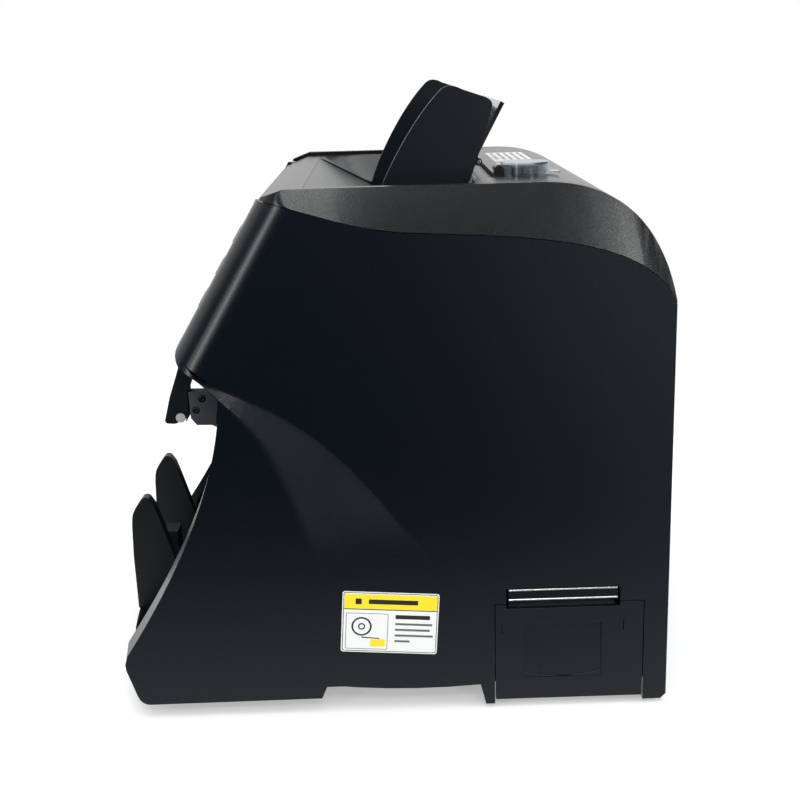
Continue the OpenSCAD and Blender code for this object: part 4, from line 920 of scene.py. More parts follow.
class Shading:
    """Softens the edges of meshes and sets how they shade."""

    # Edges up to this many degrees shade smoothly
    SMOOTH: ClassVar[float] = 34.0
    # A face whose normal has at least this share along X counts as a level side
    LEVEL: ClassVar[float] = 0.99999
    group: Optional[Tree] = None

    @classmethod
    def by_angle(cls) -> Tree:
        """Builds the geometry group that marks sharp edges and can keep level side faces flat.

        Returns:
            Geometry group with Geometry and Level Sides in, and Geometry out.
        """
        if cls.group is None:
            tree = bpy.data.node_groups.new("smooth_by_edge_angle", "GeometryNodeTree")
            tree.interface.new_socket("Geometry", in_out="INPUT", socket_type="NodeSocketGeometry")
            tree.interface.new_socket("Level Sides", in_out="INPUT", socket_type="NodeSocketBool")
            tree.interface.new_socket("Geometry", in_out="OUTPUT", socket_type="NodeSocketGeometry")
            wires = Wiring(tree)
            source, sink = wires.add("NodeGroupInput"), wires.add("NodeGroupOutput")
            soft = wires.add("FunctionNodeCompare", data_type="FLOAT", operation="LESS_EQUAL")
            wires.put(wires.add("GeometryNodeInputMeshEdgeAngle").outputs["Unsigned Angle"], soft.inputs[0])
            wires.put(math.radians(cls.SMOOTH), soft.inputs[1])
            level = wires.add("FunctionNodeCompare", data_type="FLOAT", operation="GREATER_THAN")
            sideways = wires.parts(wires.add("GeometryNodeInputNormal").outputs["Normal"])[0]
            wires.put(wires.math("ABSOLUTE", sideways), level.inputs[0])
            wires.put(cls.LEVEL, level.inputs[1])
            curved = wires.add("FunctionNodeBooleanMath", operation="NAND")
            wires.put(level.outputs["Result"], curved.inputs[0])
            wires.put(source.outputs["Level Sides"], curved.inputs[1])
            edges = wires.add("GeometryNodeSetShadeSmooth", domain="EDGE")
            faces = wires.add("GeometryNodeSetShadeSmooth", domain="FACE")
            wires.put(source.outputs["Geometry"], edges.inputs["Geometry"])
            wires.put(soft.outputs["Result"], edges.inputs["Shade Smooth"])
            wires.put(edges.outputs["Geometry"], faces.inputs["Geometry"])
            wires.put(curved.outputs["Boolean"], faces.inputs["Shade Smooth"])
            wires.put(faces.outputs["Geometry"], sink.inputs["Geometry"])
            cls.group = tree
        return cls.group

    @staticmethod
    def modify(piece: Object, name: str, kind: str, **values: object) -> bpy.types.Modifier:
        """Adds a modifier with the given settings and gives it back."""
        made = piece.modifiers.new(name, kind)
        for key, value in values.items():
            setattr(made, key, value)
        return made

    @classmethod
    def soften(cls, piece: Object, width: float, segments: int, angle: float, flatten: bool = True) -> None:
        """Rounds the sharp edges of a piece and shades it by angle.

        Args:
            piece: The piece or CAD node.
            width: Width of the rounding in millimetres, 0 for none.
            segments: Faces across the rounding.
            angle: Edges sharper than this many degrees are rounded.
            flatten: Whether flat faces are joined first; if not, level side faces are kept flat.
        """
        cls.modify(piece, "join_points", "WELD", merge_threshold=10 * MICRON)
        if flatten:
            cls.modify(piece, "join_flat_faces", "DECIMATE", decimate_type="DISSOLVE",
                       angle_limit=math.radians(0.4))
        if width > 0:
            cls.modify(piece, "soft_edges", "BEVEL", width=width * MM, segments=segments,
                       limit_method="ANGLE", angle_limit=math.radians(angle),
                       use_clamp_overlap=True, miter_outer="MITER_ARC")
        shade = cls.modify(piece, "shade_by_angle", "NODES", node_group=cls.by_angle())
        if not flatten:
            shade[shade.node_group.interface.items_tree["Level Sides"].identifier] = True
        cls.modify(piece, "flat_face_normals", "WEIGHTED_NORMAL", weight=90, keep_sharp=True)


def dress(nodes: str, material: Material, width: float, segments: int = 2, flatten: bool = True) -> None:
    """Gives CAD nodes their finish and soft edges.

    Args:
        nodes: Names of the CAD nodes, parted by spaces.
        material: Their finish.
        width: Width of the edge rounding in millimetres, 0 for none.
        segments: Faces across the rounding.
        flatten: Whether flat faces are joined first; if not, level side faces are kept flat.
    """
    for node in nodes.split():
        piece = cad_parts[node]
        if not piece.data.materials:
            piece.data.materials.append(material)
        for slot in piece.material_slots:
            slot.material = material
        Shading.soften(piece, width, segments, 32.0, flatten)
        LOG.info("dressed %s in %s", node, material.name)


# Meshes


def stand(name: str, data: bpy.types.ID) -> Object:
    """Puts a mesh, a lamp or a camera into the scene and gives its object."""
    made = bpy.data.objects.new(name, data)
    bpy.context.scene.collection.objects.link(made)
    return made


@dataclass(frozen=True)
class Face:
    """A flat face that small pieces stand on, measured in millimetres.

    Attributes:
        origin: Point that its measures start from.
        right: Direction of its first measure.
        up: Direction of its second measure.
    """

    origin: Vector
    right: Vector
    up: Vector

    def place(self, u: float, v: float, w: float = 0.0) -> Vector:
        """Gives the point at two measures along the face and one out of it.

        Args:
            u: Measure along the first direction.
            v: Measure along the second direction.
            w: Height above the face.

        Returns:
            The point in metres.
        """
        return self.origin + (self.right * u + self.up * v + self.right.cross(self.up) * w) * MM


class Form:
    """Builds one mesh from plates, turned shapes and screws, all measured in millimetres."""

    def __init__(self) -> None:
        """Starts with no faces."""
        self.mesh = bmesh.new()

    def ring(self, points: Iterable[Vector]) -> Ring:
        """Adds points to the mesh and gives them as a ring."""
        return [self.mesh.verts.new(point) for point in points]

    def bridge(self, first: Ring, second: Ring) -> None:
        """Joins two rings, either of which may be a single point.

        Args:
            first: Points of the first ring.
            second: Points of the second ring.
        """
        count = max(len(first), len(second))
        if count == 1:
            return
        for k in range(count):
            n = (k + 1) % count
            square = (first[k % len(first)], first[n % len(first)],
                      second[n % len(second)], second[k % len(second)])
            corners = list(dict.fromkeys(square))
            if len(corners) > 2:
                self.mesh.faces.new(corners)

    def chain(self, rings: list[Ring], closed: bool = False) -> None:
        """Joins each ring to the next, and the last to the first where asked."""
        following = rings[1:] + rings[:1] if closed else rings[1:]
        for first, second in zip(rings, following):
            self.bridge(first, second)

    def plate(self, face: Face, outline: Outline, low: float, high: float,
              u: float = 0.0, v: float = 0.0) -> None:
        """Adds a plate that stands on a face.

        Args:
            face: The face.
            outline: Points, counter-clockwise seen from outside.
            low: Height of its back above the face.
            high: Height of its front above the face.
            u: Place of the outline's origin along the face.
            v: Place of the outline's origin up the face.
        """
        front = self.ring(face.place(u + a, v + b, high) for a, b in outline)
        back = self.ring(face.place(u + a, v + b, low) for a, b in outline)
        self.mesh.faces.new(front)
        self.mesh.faces.new(back[::-1])
        self.bridge(back, front)

    def border(self, face: Face, outer: Outline, inner: Outline, low: float, high: float,
               u: float = 0.0, v: float = 0.0) -> None:
        """Adds a plate with a hole, from two outlines with as many points.

        Args:
            face: The face that it stands on.
            outer: Outer outline.
            inner: Outline of the hole.
            low: Height of its back above the face.
            high: Height of its front above the face.
            u: Place of the outlines' origin along the face.
            v: Place of the outlines' origin up the face.
        """
        lines = ((outer, high), (inner, high), (inner, low), (outer, low))
        self.chain([self.ring(face.place(u + a, v + b, w) for a, b in line) for line, w in lines], True)

    def turned(self, profile: Outline, start: Vector, axis: Vector, steps: int, closed: bool = False) -> None:
        """Adds a turned shape.

        Args:
            profile: Distances along the axis and radii, from one end to the other.
            start: Point on the axis where the distance is 0.
            axis: Direction of the axis, one unit long.
            steps: Faces round the axis.
            closed: Whether the profile is a closed ring that never reaches the axis.
        """
        side = axis.orthogonal().normalized()
        other = axis.cross(side)
        rings = []
        for along, radius in profile:
            turns = disc(1.0, steps) if radius else [(0.0, 0.0)]
            centre = start + axis * (along * MM)
            rings.append(self.ring(centre + (side * a + other * b) * (radius * MM) for a, b in turns))
        self.chain(rings, closed)

    def screw(self, face: Face, radius: float, height: float, length: float) -> None:
        """Adds a domed screw with a cross recess.

        Args:
            face: Face at the top of the head, with its origin on the screw's axis.
            radius: Radius of the head.
            height: Height of the head.
            length: Length of the shank.
        """
        steps = 48
        # The cross recess: half its width, the share of the radius that it reaches and its depth
        wing, reach, recess = 0.16 * radius, 0.6, 0.5 * height
        # The dome: shares of the radius, and how far it has sunk there as a share of its rise
        dome = ((0.0, 0.0), (0.30, 0.0), (0.56, 0.0), (0.64, 0.06), (0.80, 0.16), (0.93, 0.38), (1.0, 0.75))
        rings = []
        for share, sunk in dome:
            cut = recess * (1 - share) if share < reach else 0.0
            rings.append(self.ring(
                face.place(u, v, -sunk * height * 0.6 - (cut if min(abs(u), abs(v)) <= wing else 0.0))
                for u, v in disc(share * radius, steps)))
        for share, depth in ((1.0, height), (0.5, height), (0.5, length), (0.0, length)):
            rings.append(self.ring(face.place(u, v, -depth) for u, v in disc(share * radius, steps)))
        self.chain(rings)

    def as_object(self, name: str, material: Material) -> Object:
        """Turns the form into an object of the scene.

        Args:
            name: Name of the object and its mesh.
            material: Its finish.

        Returns:
            The new object.
        """
        data = bpy.data.meshes.new(name)
        self.mesh.to_mesh(data)
        self.mesh.free()
        data.materials.append(material)
        return stand(name, data)

    def finish(self, name: str, material: Material, width: float = 0.0, segments: int = 2,
               angle: float = 34.0, body: Body = Body.MACHINE, replaces: Sequence[str] = ()) -> None:
        """Turns the form into a piece of the machine.

        Args:
            name: Name of the piece.
            material: Its finish.
            width: Width of the edge rounding, 0 for none.
            segments: Faces across the rounding.
            angle: Edges sharper than this many degrees are rounded.
            body: The body that it rides on.
            replaces: CAD nodes that it stands for.
        """
        bmesh.ops.recalc_face_normals(self.mesh, faces=self.mesh.faces)
        piece = self.as_object(name, material)
        Shading.soften(piece, width, segments, angle)
        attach(piece, body.value)
        if replaces:
            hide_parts(*replaces)
        LOG.info("made %s on %s", name, body.value)


# Studio


@dataclass
class Studio:
    """Floor, light, background and camera.

    Attributes:
        floor_size: Side of the floor in metres.
        near: Distance from the middle where the floor starts to melt into the white background.
        far: Distance where it is all background.
        camera_place: Where the camera stands, in millimetres from the part's own origin.
        camera_right: Direction of the picture's right side.
        camera_up: Direction of the picture's upper side.
        lens: Focal length in millimetres over a 36 mm frame.
    """

    floor_size: float = 14.0
    near: float = 0.34
    far: float = 0.95
    camera_place: Point3 = (775.84, -1.42, 351.80)
    camera_right: Point3 = (0.0172, 0.9995, -0.0268)
    camera_up: Point3 = (-0.2604, 0.0303, 0.9650)
    lens: float = 56.7

    def build(self) -> None:
        """Builds the floor, the lamps, the world and the camera."""
        self.floor()
        self.world()
        self.lamp("top_softbox", (0.10, 0.02, 1.5), (0.10, 0.02, 0.0), (2.2, 1.6), 18.0)
        self.lamp("front_strip", (1.10, -1.00, 0.43), (0.13, -0.10, 0.235), (0.20, 0.8), 5.5)
        self.lamp("rear_softbox", (0.55, 1.20, 0.60), (0.08, 0.10, 0.22), (0.5, 0.7), 2.5)
        self.lamp("side_softbox", (1.20, 0.08, 0.94), (0.14, -0.03, 0.28), (0.5, 0.2), 3.4)
        self.lamp("rear_side_softbox", (1.20, 0.60, 0.43), (0.14, 0.12, 0.265), (0.24, 0.2), 2.2)
        self.camera()
        bpy.context.scene.view_settings.view_transform = "Standard"

    def seen_as_background(self, wires: Wiring, mirrored: object, spread: float) -> Socket:
        """Gives how bright the background is for each kind of ray.

        Args:
            wires: Wiring of the material or the world.
            mirrored: Brightness in mirrored light, a socket or a number.
            spread: Brightness in light that a matt surface scatters.

        Returns:
            Socket of the brightness: 1 for the camera and through clear parts.
        """
        path = wires.add("ShaderNodeLightPath").outputs
        direct = wires.math("MAXIMUM", path["Is Camera Ray"], path["Is Transmission Ray"])
        mirror = wires.times(path["Is Glossy Ray"], mirrored)
        matt = wires.times(path["Is Diffuse Ray"], spread)
        return wires.math("MAXIMUM", direct, wires.plus(mirror, matt))

    def floor(self) -> None:
        """Lays the pale floor, which keeps the object's shadow."""
        form = Form()
        size = self.floor_size / MM
        form.plate(Face(Vector(), ACROSS, ALONG), rounded_box(size, size, 500), -20, 0)
        desk = MaterialDesk("pale_studio_floor")
        wires = desk.wires
        across, along, _ = wires.parts(desk.place)
        reach = wires.math("SQRT", wires.plus(wires.times(across, across), wires.times(along, along)))
        grain = desk.effect(Effect.GRAIN, Scale=60.0)
        drift = desk.effect(Effect.DRIFT, Base=(0.83, 0.835, 0.84, 1.0), Amount=0.01, Scale=0.8)
        desk.feed("Base Color", drift.outputs["Color"])
        desk.feed("Roughness", wires.plus(wires.times(grain.outputs["Tone"], 0.1), 0.8))
        desk.fix(Specular_IOR_Level=0.1, Emission_Color=WHITE)
        desk.feed("Emission Strength", wires.times(self.seen_as_background(wires, 0.2, 0.0), 0.34))
        front = wires.plus(0.45, wires.times(wires.ramp(along, 0.42, 0.02), 0.55))
        dark = wires.times(wires.ramp(across, 0.0, 0.50), front)
        mirrored = wires.minus(0.95, wires.times(dark, 0.94))
        glossy = wires.add("ShaderNodeLightPath").outputs["Is Glossy Ray"]
        away = wires.math("MAXIMUM", wires.ramp(reach, self.near, self.far), glossy)
        glow = wires.add("ShaderNodeEmission", Color=WHITE)
        wires.put(self.seen_as_background(wires, mirrored, 0.7), glow.inputs["Strength"])
        both = wires.add("ShaderNodeMixShader")
        for socket, target in zip((away, desk.shader.outputs[0], glow.outputs[0]), both.inputs):
            wires.put(socket, target)
        wires.put(both.outputs[0], desk.sink.inputs["Surface"])
        form.as_object("studio_floor", desk.material)

    def world(self) -> None:
        """Sets a white background, with a dimmer studio on the camera's side."""
        world = bpy.data.worlds.new("studio_world")
        bpy.context.scene.world = world
        world.use_nodes = True
        world.node_tree.nodes.clear()
        wires = Wiring(world.node_tree)
        across, _, high = wires.parts(wires.add("ShaderNodeTexCoord").outputs["Generated"])
        above = wires.plus(wires.times(wires.ramp(high, 0.25, 0.60), 0.9), 0.03)
        mirrored = wires.math("MAXIMUM", wires.ramp(across, 0.30, -0.30), above)
        white = wires.add("ShaderNodeBackground", Color=WHITE)
        wires.put(self.seen_as_background(wires, mirrored, 0.42), white.inputs["Strength"])
        wires.put(white.outputs[0], wires.add("ShaderNodeOutputWorld").inputs["Surface"])

    def lamp(self, name: str, place: Point3, target: Point3, size: Point2, power: float) -> None:
        """Adds a soft rectangular lamp.

        Args:
            name: Name of the lamp.
            place: Where it hangs.
            target: Where it points.
            size: Width and height in metres.
            power: Power in watts.
        """
        data = bpy.data.lights.new(name, "AREA")
        data.shape = "RECTANGLE"
        data.size, data.size_y = size
        data.energy = power
        lamp = stand(name, data)
        lamp.location = place
        lamp.rotation_euler = (Vector(target) - Vector(place)).to_track_quat("-Z", "Y").to_euler()

    def camera(self) -> None:
        """Sets the camera at the photograph's viewing angle."""
        data = bpy.data.cameras.new("studio_camera")
        data.lens = self.lens
        data.sensor_width = 36.0
        data.clip_start, data.clip_end = 0.01, 50.0
        camera = stand("studio_camera", data)
        right = Vector(self.camera_right).normalized()
        up = Vector(self.camera_up)
        up = (up - right * up.dot(right)).normalized()
        turn = Matrix((right, up, right.cross(up))).transposed().to_4x4()
        camera.matrix_world = Matrix.Translation(at(*self.camera_place)) @ turn
        bpy.context.scene.camera = camera


# Parts of the machine


@dataclass
class Assembly:
    """Part of the machine that is dressed and built in one go.

    Attributes:
        finishes: All finishes.
    """

    finishes: Finishes

    def build(self) -> None:
        """Dresses the CAD nodes and builds the added pieces."""
        raise NotImplementedError


@dataclass
class Casing(Assembly):
    """Side covers, top cover, rear cover, base plate, feet and screws.

    Attributes:
        foot_radius: Radius of a rubber foot.
        foot_height: Height of a foot.
        foot_x: Distance of the feet from the middle.
        foot_rows: Y of the front and the rear feet.
        screw_x: Distance of the rear screws from the middle.
        screw_sunk: How far their heads are sunk into the rear cover.
        screw_rows: Heights of the rear screws.
        block_screw_x: Distance of the end blocks' screw heads from the middle.
        block_screws: Y and Z of the screws in each end block.
    """

    foot_radius: float = 9.0
    foot_height: float = 6.0
    foot_x: float = 105.0
    foot_rows: Point2 = (-110.0, 120.0)
    screw_x: float = 110.0
    screw_sunk: float = 0.2
    screw_rows: Point2 = (20.0, 205.0)
    block_screw_x: float = 119.8
    block_screws: tuple[Point2, Point2] = ((-101.3, 178.6), (-104.9, 172.4))

    def build(self) -> None:
        """Dresses the covers and builds the feet and screws."""
        made = self.finishes
        dress("right_side_cover left_side_cover", made.side, 1.0, 3, False)
        dress("top_cover", made.top, 0.7, 3)
        dress("rear_cover", made.casing, 0.5, 2, False)
        dress("base_plate", made.black, 0.4)
        self.feet()
        self.screws()

    def feet(self) -> None:
        """Turns the four rubber feet, each with a ribbed sole and a screw well."""
        r, h = self.foot_radius, self.foot_height
        well = [(0.9, 0.0), (0.9, 2.6), (0.0, 3.0), (0.0, 4.4)]
        grooves = [(0.35, 4.7), (0.0, 5.0), (0.0, 6.4), (0.35, 6.7), (0.0, 7.0)]
        rim = [(0.0, r - 1.2), (0.3, r - 0.6), (1.0, r - 0.15), (2.4, r), (h - 0.6, r - 0.6)]
        rim += [(h, r - 0.7), (h, 0.0)]
        form = Form()
        for x in (-self.foot_x, self.foot_x):
            for y in self.foot_rows:
                form.turned(well + grooves + rim, at(x, y, 0), UP, 40)
        form.finish("rubber_feet", self.finishes.foot, 0.15, 2, 40, replaces=("feet_and_screws",))

    def screws(self) -> None:
        """Makes the cross-recessed screws of the rear cover and of the end blocks."""
        steel = self.finishes.dark_steel
        form = Form()
        for x in (-self.screw_x, self.screw_x):
            for z in self.screw_rows:
                face = Face(at(x, REAR_Y - self.screw_sunk, z), -ACROSS, UP)
                form.screw(face, radius=3.2, height=1.3, length=12.0)
        form.finish("rear_cover_screws", steel, 0.05, 2, 30)
        form = Form()
        for side in (-1, 1):
            for y, z in self.block_screws:
                face = Face(at(side * self.block_screw_x, y, z), side * ALONG, UP)
                form.screw(face, radius=1.9, height=1.2, length=7.0)
        form.finish("end_block_screws", steel, 0.04, 2, 30)


@dataclass
class Hopper(Assembly):
    """Ramp, throat, guide wings and folding back plate.

    Attributes:
        pickup: Y and Z of the pickup shaft.
        feed: Y and Z of the feed shaft.
        bore: Radius of the bore in the rollers' hubs.
        flange: How far a hub stands out of its rubber at each end.
        ribs: Ribs round each roller.
        groove: Depth of the grooves between them.
    """

    pickup: Point2 = (45.352, 261.911)
    feed: Point2 = (27.127, 230.829)
    bore: float = 3.1
    flange: float = 3.0
    ribs: int = 6
    groove: float = 0.8

    def build(self) -> None:
        """Dresses the hopper and builds the ribbed rollers that show in its window."""
        made = self.finishes
        dress("hopper_bed", made.top, 0.5)
        dress("left_guide_wing right_guide_wing", made.smoked, 0.6, 3, False)
        dress("hopper_flap", made.gloss, 0.5, 3)
        dress("flap_pin", made.ground, 0.15)
        dress("guide_pinion", made.nylon, 0.1)
        self.rollers(Body.PICKUP, self.pickup, place=30.0, width=11.0, radius=18.0, hub=7.0)
        self.rollers(Body.FEED, self.feed, place=14.0, width=9.0, radius=16.0, hub=6.0)

    def rollers(self, body: Body, axis: Point2, place: float, width: float, radius: float,
                hub: float) -> None:
        """Turns a pair of rubber rollers with grooves and a flanged hub.

        Args:
            body: Body that they turn with.
            axis: Y and Z of the shaft.
            place: Distance of each roller's middle from the middle of the machine.
            width: Width of the rubber.
            radius: Radius of the rubber.
            hub: Radius of the hub.
        """
        pitch, half = width / self.ribs, width / 2
        end = half + self.flange
        profile = [(-end, self.bore), (-end, hub), (-half, hub), (-half, radius - 2.4), (-half, radius - 0.3)]
        for k in range(self.ribs):
            low = -half + k * pitch
            profile += [(low + 0.25, radius), (low + pitch - 0.5, radius)]
            if k < self.ribs - 1:
                profile += [(low + pitch + step, radius - self.groove) for step in (-0.35, 0.1)]
        profile += [(half, radius - 0.3), (half, radius - 2.4), (half, hub), (end, hub), (end, self.bore)]
        form = Form()
        for side in (-1, 1):
            form.turned(profile, at(side * place, *axis), ACROSS, 64, True)
        form.finish(f"ribbed_{body.value}_rollers", self.finishes.rubber, 0.05, 2, 40, body,
                    (f"{body.value}_rollers",))


@dataclass
class StackerPocket(Assembly):
    """Front tray, its fins, the back of the pocket and the nose arms."""

    def build(self) -> None:
        """Dresses the pocket."""
        made = self.finishes
        dress("stacker_tray", made.black, 0.6)
        dress("stacker_fins", made.black, 1.0, 3)
        dress("stacker_back nose_arms", made.black, 0.5)
        dress("arm_rollers", made.grey, 0.5, 3)
        dress("end_blocks", made.dull, 0.4)


@dataclass
class NoteTransport(Assembly):
    """Side frames, shafts, rollers, belts and the motor."""

    def build(self) -> None:
        """Dresses the transport."""
        made = self.finishes
        dress("left_frame right_frame note_guides", made.zinc, 0.15)
        shafts = "pickup_shaft feed_shaft transport_shaft stacker_shaft"
        dress(f"cross_rods {shafts} motor_pulley", made.ground, 0.2)
        dress("transport_rollers retard_roller", made.rubber, 0.4)
        dress("stacker_wheels", made.blade, 0.1, 1)
        dress("drive_belts", made.belt, 0.0)
        dress("drive_motor", made.motor, 0.5)
        dress("sensor_bars", made.black, 0.5)


@dataclass
class ControlPanel(Assembly):
    """Slanted front panel with its display and keys.

    Attributes:
        foot: Y and Z of the slant's lower end.
        head: Y and Z of its upper end.
        display: Width and height of the display window.
        line: How far the border line's outer and inner edge lie inside the window.
        screen: How far the viewing area lies inside the window.
        sunk: How far both prints reach into the glass.
        rise: How far the display's middle lies above the slant's.
        key_x: Distance of the key columns from the middle.
        key_pitch: Distance from key to key.
        key_out: How far a key stands out of the panel.
    """

    foot: Point2 = (-111.7, 209.2)
    head: Point2 = (-68.2, 281.0)
    display: Point2 = (124.0, 62.0)
    line: Point2 = (4.0, 4.6)
    screen: float = 6.5
    sunk: float = 0.05
    rise: float = 1.0
    key_x: float = 90.0
    key_pitch: float = 20.0
    key_out: float = 1.2

    def build(self) -> None:
        """Dresses the panel and prints the marks on the glass and the keys."""
        made = self.finishes
        dress("front_panel", made.casing, 0.6)
        dress("display_window", made.window, 0.4)
        dress("display_module", made.board, 0.2)
        dress("key_1 key_2 key_3 key_4 key_5 key_6", made.key, 0.8, 3)
        self.glass_marks()
        for number, shape in enumerate(self.symbols(), 1):
            self.symbol(number, shape)

    def slant(self) -> Vector:
        """Gives the way from the slant's lower end to its upper end in millimetres."""
        return Vector((0, self.head[0] - self.foot[0], self.head[1] - self.foot[1]))

    def face(self) -> Face:
        """Gives the slanted face, with its origin at the lower end in the middle."""
        return Face(at(0, *self.foot), ACROSS, self.slant().normalized())

    def middle(self) -> float:
        """Gives the distance of the display's middle from the slant's lower end."""
        return self.slant().length / 2 + self.rise

    def glass_marks(self) -> None:
        """Prints the grey border line and the darker viewing area on the glass."""

        def inside(margin: float, radius: float) -> Outline:
            """Gives the window's outline, drawn in by a margin."""
            width, height = self.display
            return rounded_box(width - 2 * margin, height - 2 * margin, radius)

        outer, inner = self.line
        form = Form()
        form.border(self.face(), inside(outer, 2.0), inside(inner, 1.6), -self.sunk, 0.02, 0, self.middle())
        form.finish("glass_border_line", self.finishes.grey_ink)
        form = Form()
        form.plate(self.face(), inside(self.screen, 1.0), -self.sunk, 0.012, 0, self.middle())
        form.finish("screen_area", self.finishes.screen)

    @staticmethod
    def symbols() -> list[list[Outline]]:
        """Gives what is printed on keys 1 to 6: arrow down, bars, arrow up, block, plus, arrow onward.

        Returns:
            For each key, its list of outlines in millimetres.
        """

        def bar(v: float, width: float, height: float) -> Outline:
            """Gives a small bar in the middle of the key."""
            return [(a, v + b) for a, b in rounded_box(width, height, min(width, height) * 0.3, 3)]

        down = [(-2.2, 1.1), (0, -1.9), (2.2, 1.1)]
        top = [(-2.2, -1.1), (2.2, -1.1), (0, 1.9)]
        onward = [(-1.5, -2.0), (1.9, 0), (-1.5, 2.0)]
        lines = [bar(v, 5.0, 0.7) for v in (-1.6, 0, 1.6)]
        plus = [bar(0, 4.4, 0.9), bar(1.35, 0.9, 1.7), bar(-1.35, 0.9, 1.7)]
        block = [bar(0, 3.4, 3.4)]
        return [[down], lines, [top], block, plus, [onward]]

    def symbol(self, number: int, shape: list[Outline]) -> None:
        """Prints one key's symbol on its cap.

        Args:
            number: Number of the key.
            shape: Outlines of the symbol.
        """
        across = -self.key_x if number <= 3 else self.key_x
        high = self.middle() + ((number - 1) % 3 - 1) * self.key_pitch
        form = Form()
        for outline in shape:
            form.plate(self.face(), outline, self.key_out - 0.1, self.key_out + 0.04, across, high)
        form.finish(f"key_{number}_symbol", self.finishes.white_ink, body=Body(f"key{number}"))


@dataclass
class Electronics(Assembly):
    """Main board, power supply, fan and inlet.

    Attributes:
        inlet: X and Z of the inlet's middle.
        pins: Places of the pins from there.
        pin: Width, length and height of a pin.
        pin_depth: Distance of a pin's middle from the rear cover's face.
    """

    inlet: Point2 = (-92.0, 75.0)
    pins: tuple[Point2, ...] = ((-6.0, -1.0), (0.0, 2.0), (6.0, -1.0))
    pin: Point3 = (2.16, 13.1, 5.16)
    pin_depth: float = 9.35

    def build(self) -> None:
        """Dresses the electronics and plates the inlet's pins."""
        made = self.finishes
        dress("main_board", made.board, 0.1)
        dress("power_supply", made.board, 0.2)
        dress("fan_frame", made.black, 0.5)
        dress("fan_rotor", made.black, 0.2)
        dress("power_inlet", made.black, 0.3)
        dress("power_switch", made.red, 0.5)
        width, length, height = self.pin
        form = Form()
        for u, v in self.pins:
            middle = at(self.inlet[0] + u, REAR_Y - self.pin_depth, self.inlet[1] + v)
            form.plate(Face(middle, ACROSS, ALONG), rounded_box(width, length, 0.3), -height / 2, height / 2)
        form.finish("inlet_pins", made.gold, 0.3)


@dataclass
class Printer(Assembly):
    """Receipt printer behind the door in the right side.

    Attributes:
        pull_y: Y of both ends of the finger pull.
        pull_z: Lower and upper end of the finger pull.
        pull_depth: Depth of the pull's floor at its upper and its lower end.
        lip_bow: Height of the lip's upper edge at its ends and of the points that bow it.
        play: Gap left between the pull's pieces and its sides.
        ridge_y: Y of the front end of the tear bar's ridges.
        ridge_z: Heights of the two ridges.
        ridge: Length and radius of a ridge.
        ridge_depth: Distance of the ridges' axis from the side cover's face.
    """

    pull_y: Point2 = (69.5, 112.5)
    pull_z: Point2 = (18.0, 50.0)
    pull_depth: Point2 = (1.6, 0.55)
    lip_bow: Point2 = (3.4, -0.6)
    play: float = 0.02
    ridge_y: float = 61.45
    ridge_z: Point2 = (64.5, 70.15)
    ridge: Point2 = (59.6, 0.55)
    ridge_depth: float = 0.75

    def build(self) -> None:
        """Dresses the printer and builds the finger pull and the tear bar's ridges."""
        made = self.finishes
        dress("printer_frame", made.black, 0.3)
        dress("printer_door", made.casing, 0.35, 2, False)
        dress("door_pin", made.ground, 0.1)
        dress("platen_roller", made.rubber, 0.2)
        dress("paper_roll", made.paper, 0.1)
        dress("print_head", made.ceramic, 0.1)
        dress("tear_bar", made.dark_steel, 0.15)
        self.pull()
        self.ridges()

    def pull(self) -> None:
        """Builds the pull's sloping floor and the bowed lip at its lower edge."""
        (front, rear), (low, high) = self.pull_y, self.pull_z
        deep, shallow = (FACE_X - depth for depth in self.pull_depth)
        back = deep - 0.2
        slope = [(back, low), (shallow, low), (shallow, low + 5), (deep + 0.4, high - 10),
                 (deep, high - 2), (deep, high), (back, high)]
        form = Form()
        form.plate(Face(at(0, front + self.play, 0), ACROSS, UP), slope, front - rear + 2 * self.play, 0)
        form.finish("door_pull_floor", self.finishes.casing, 0.15, body=Body.DOOR)
        half = (rear - front) / 2
        end, (edge, dip) = half - self.play, self.lip_bow
        bow = bezier([(end, edge), (half * 0.35, dip), (-half * 0.35, dip), (-end, edge)], 18)
        form = Form()
        form.plate(Face(at(FACE_X, (front + rear) / 2, low), ALONG, UP),
                   [(-end, 0.01), (end, 0.01)] + bow, -1.7, -0.03)
        form.finish("door_pull_lip", self.finishes.casing, 0.3, 3, 40, Body.DOOR)

    def ridges(self) -> None:
        """Rolls the two ridges along the tear bar that catch the light."""
        length, radius = self.ridge
        form = Form()
        for z in self.ridge_z:
            start = at(FACE_X - self.ridge_depth, self.ridge_y, z)
            form.turned([(0, 0), (0, radius), (length, radius), (length, 0)], start, ALONG, 16)
        form.finish("tear_bar_ridges", self.finishes.blade_steel, 0.1)


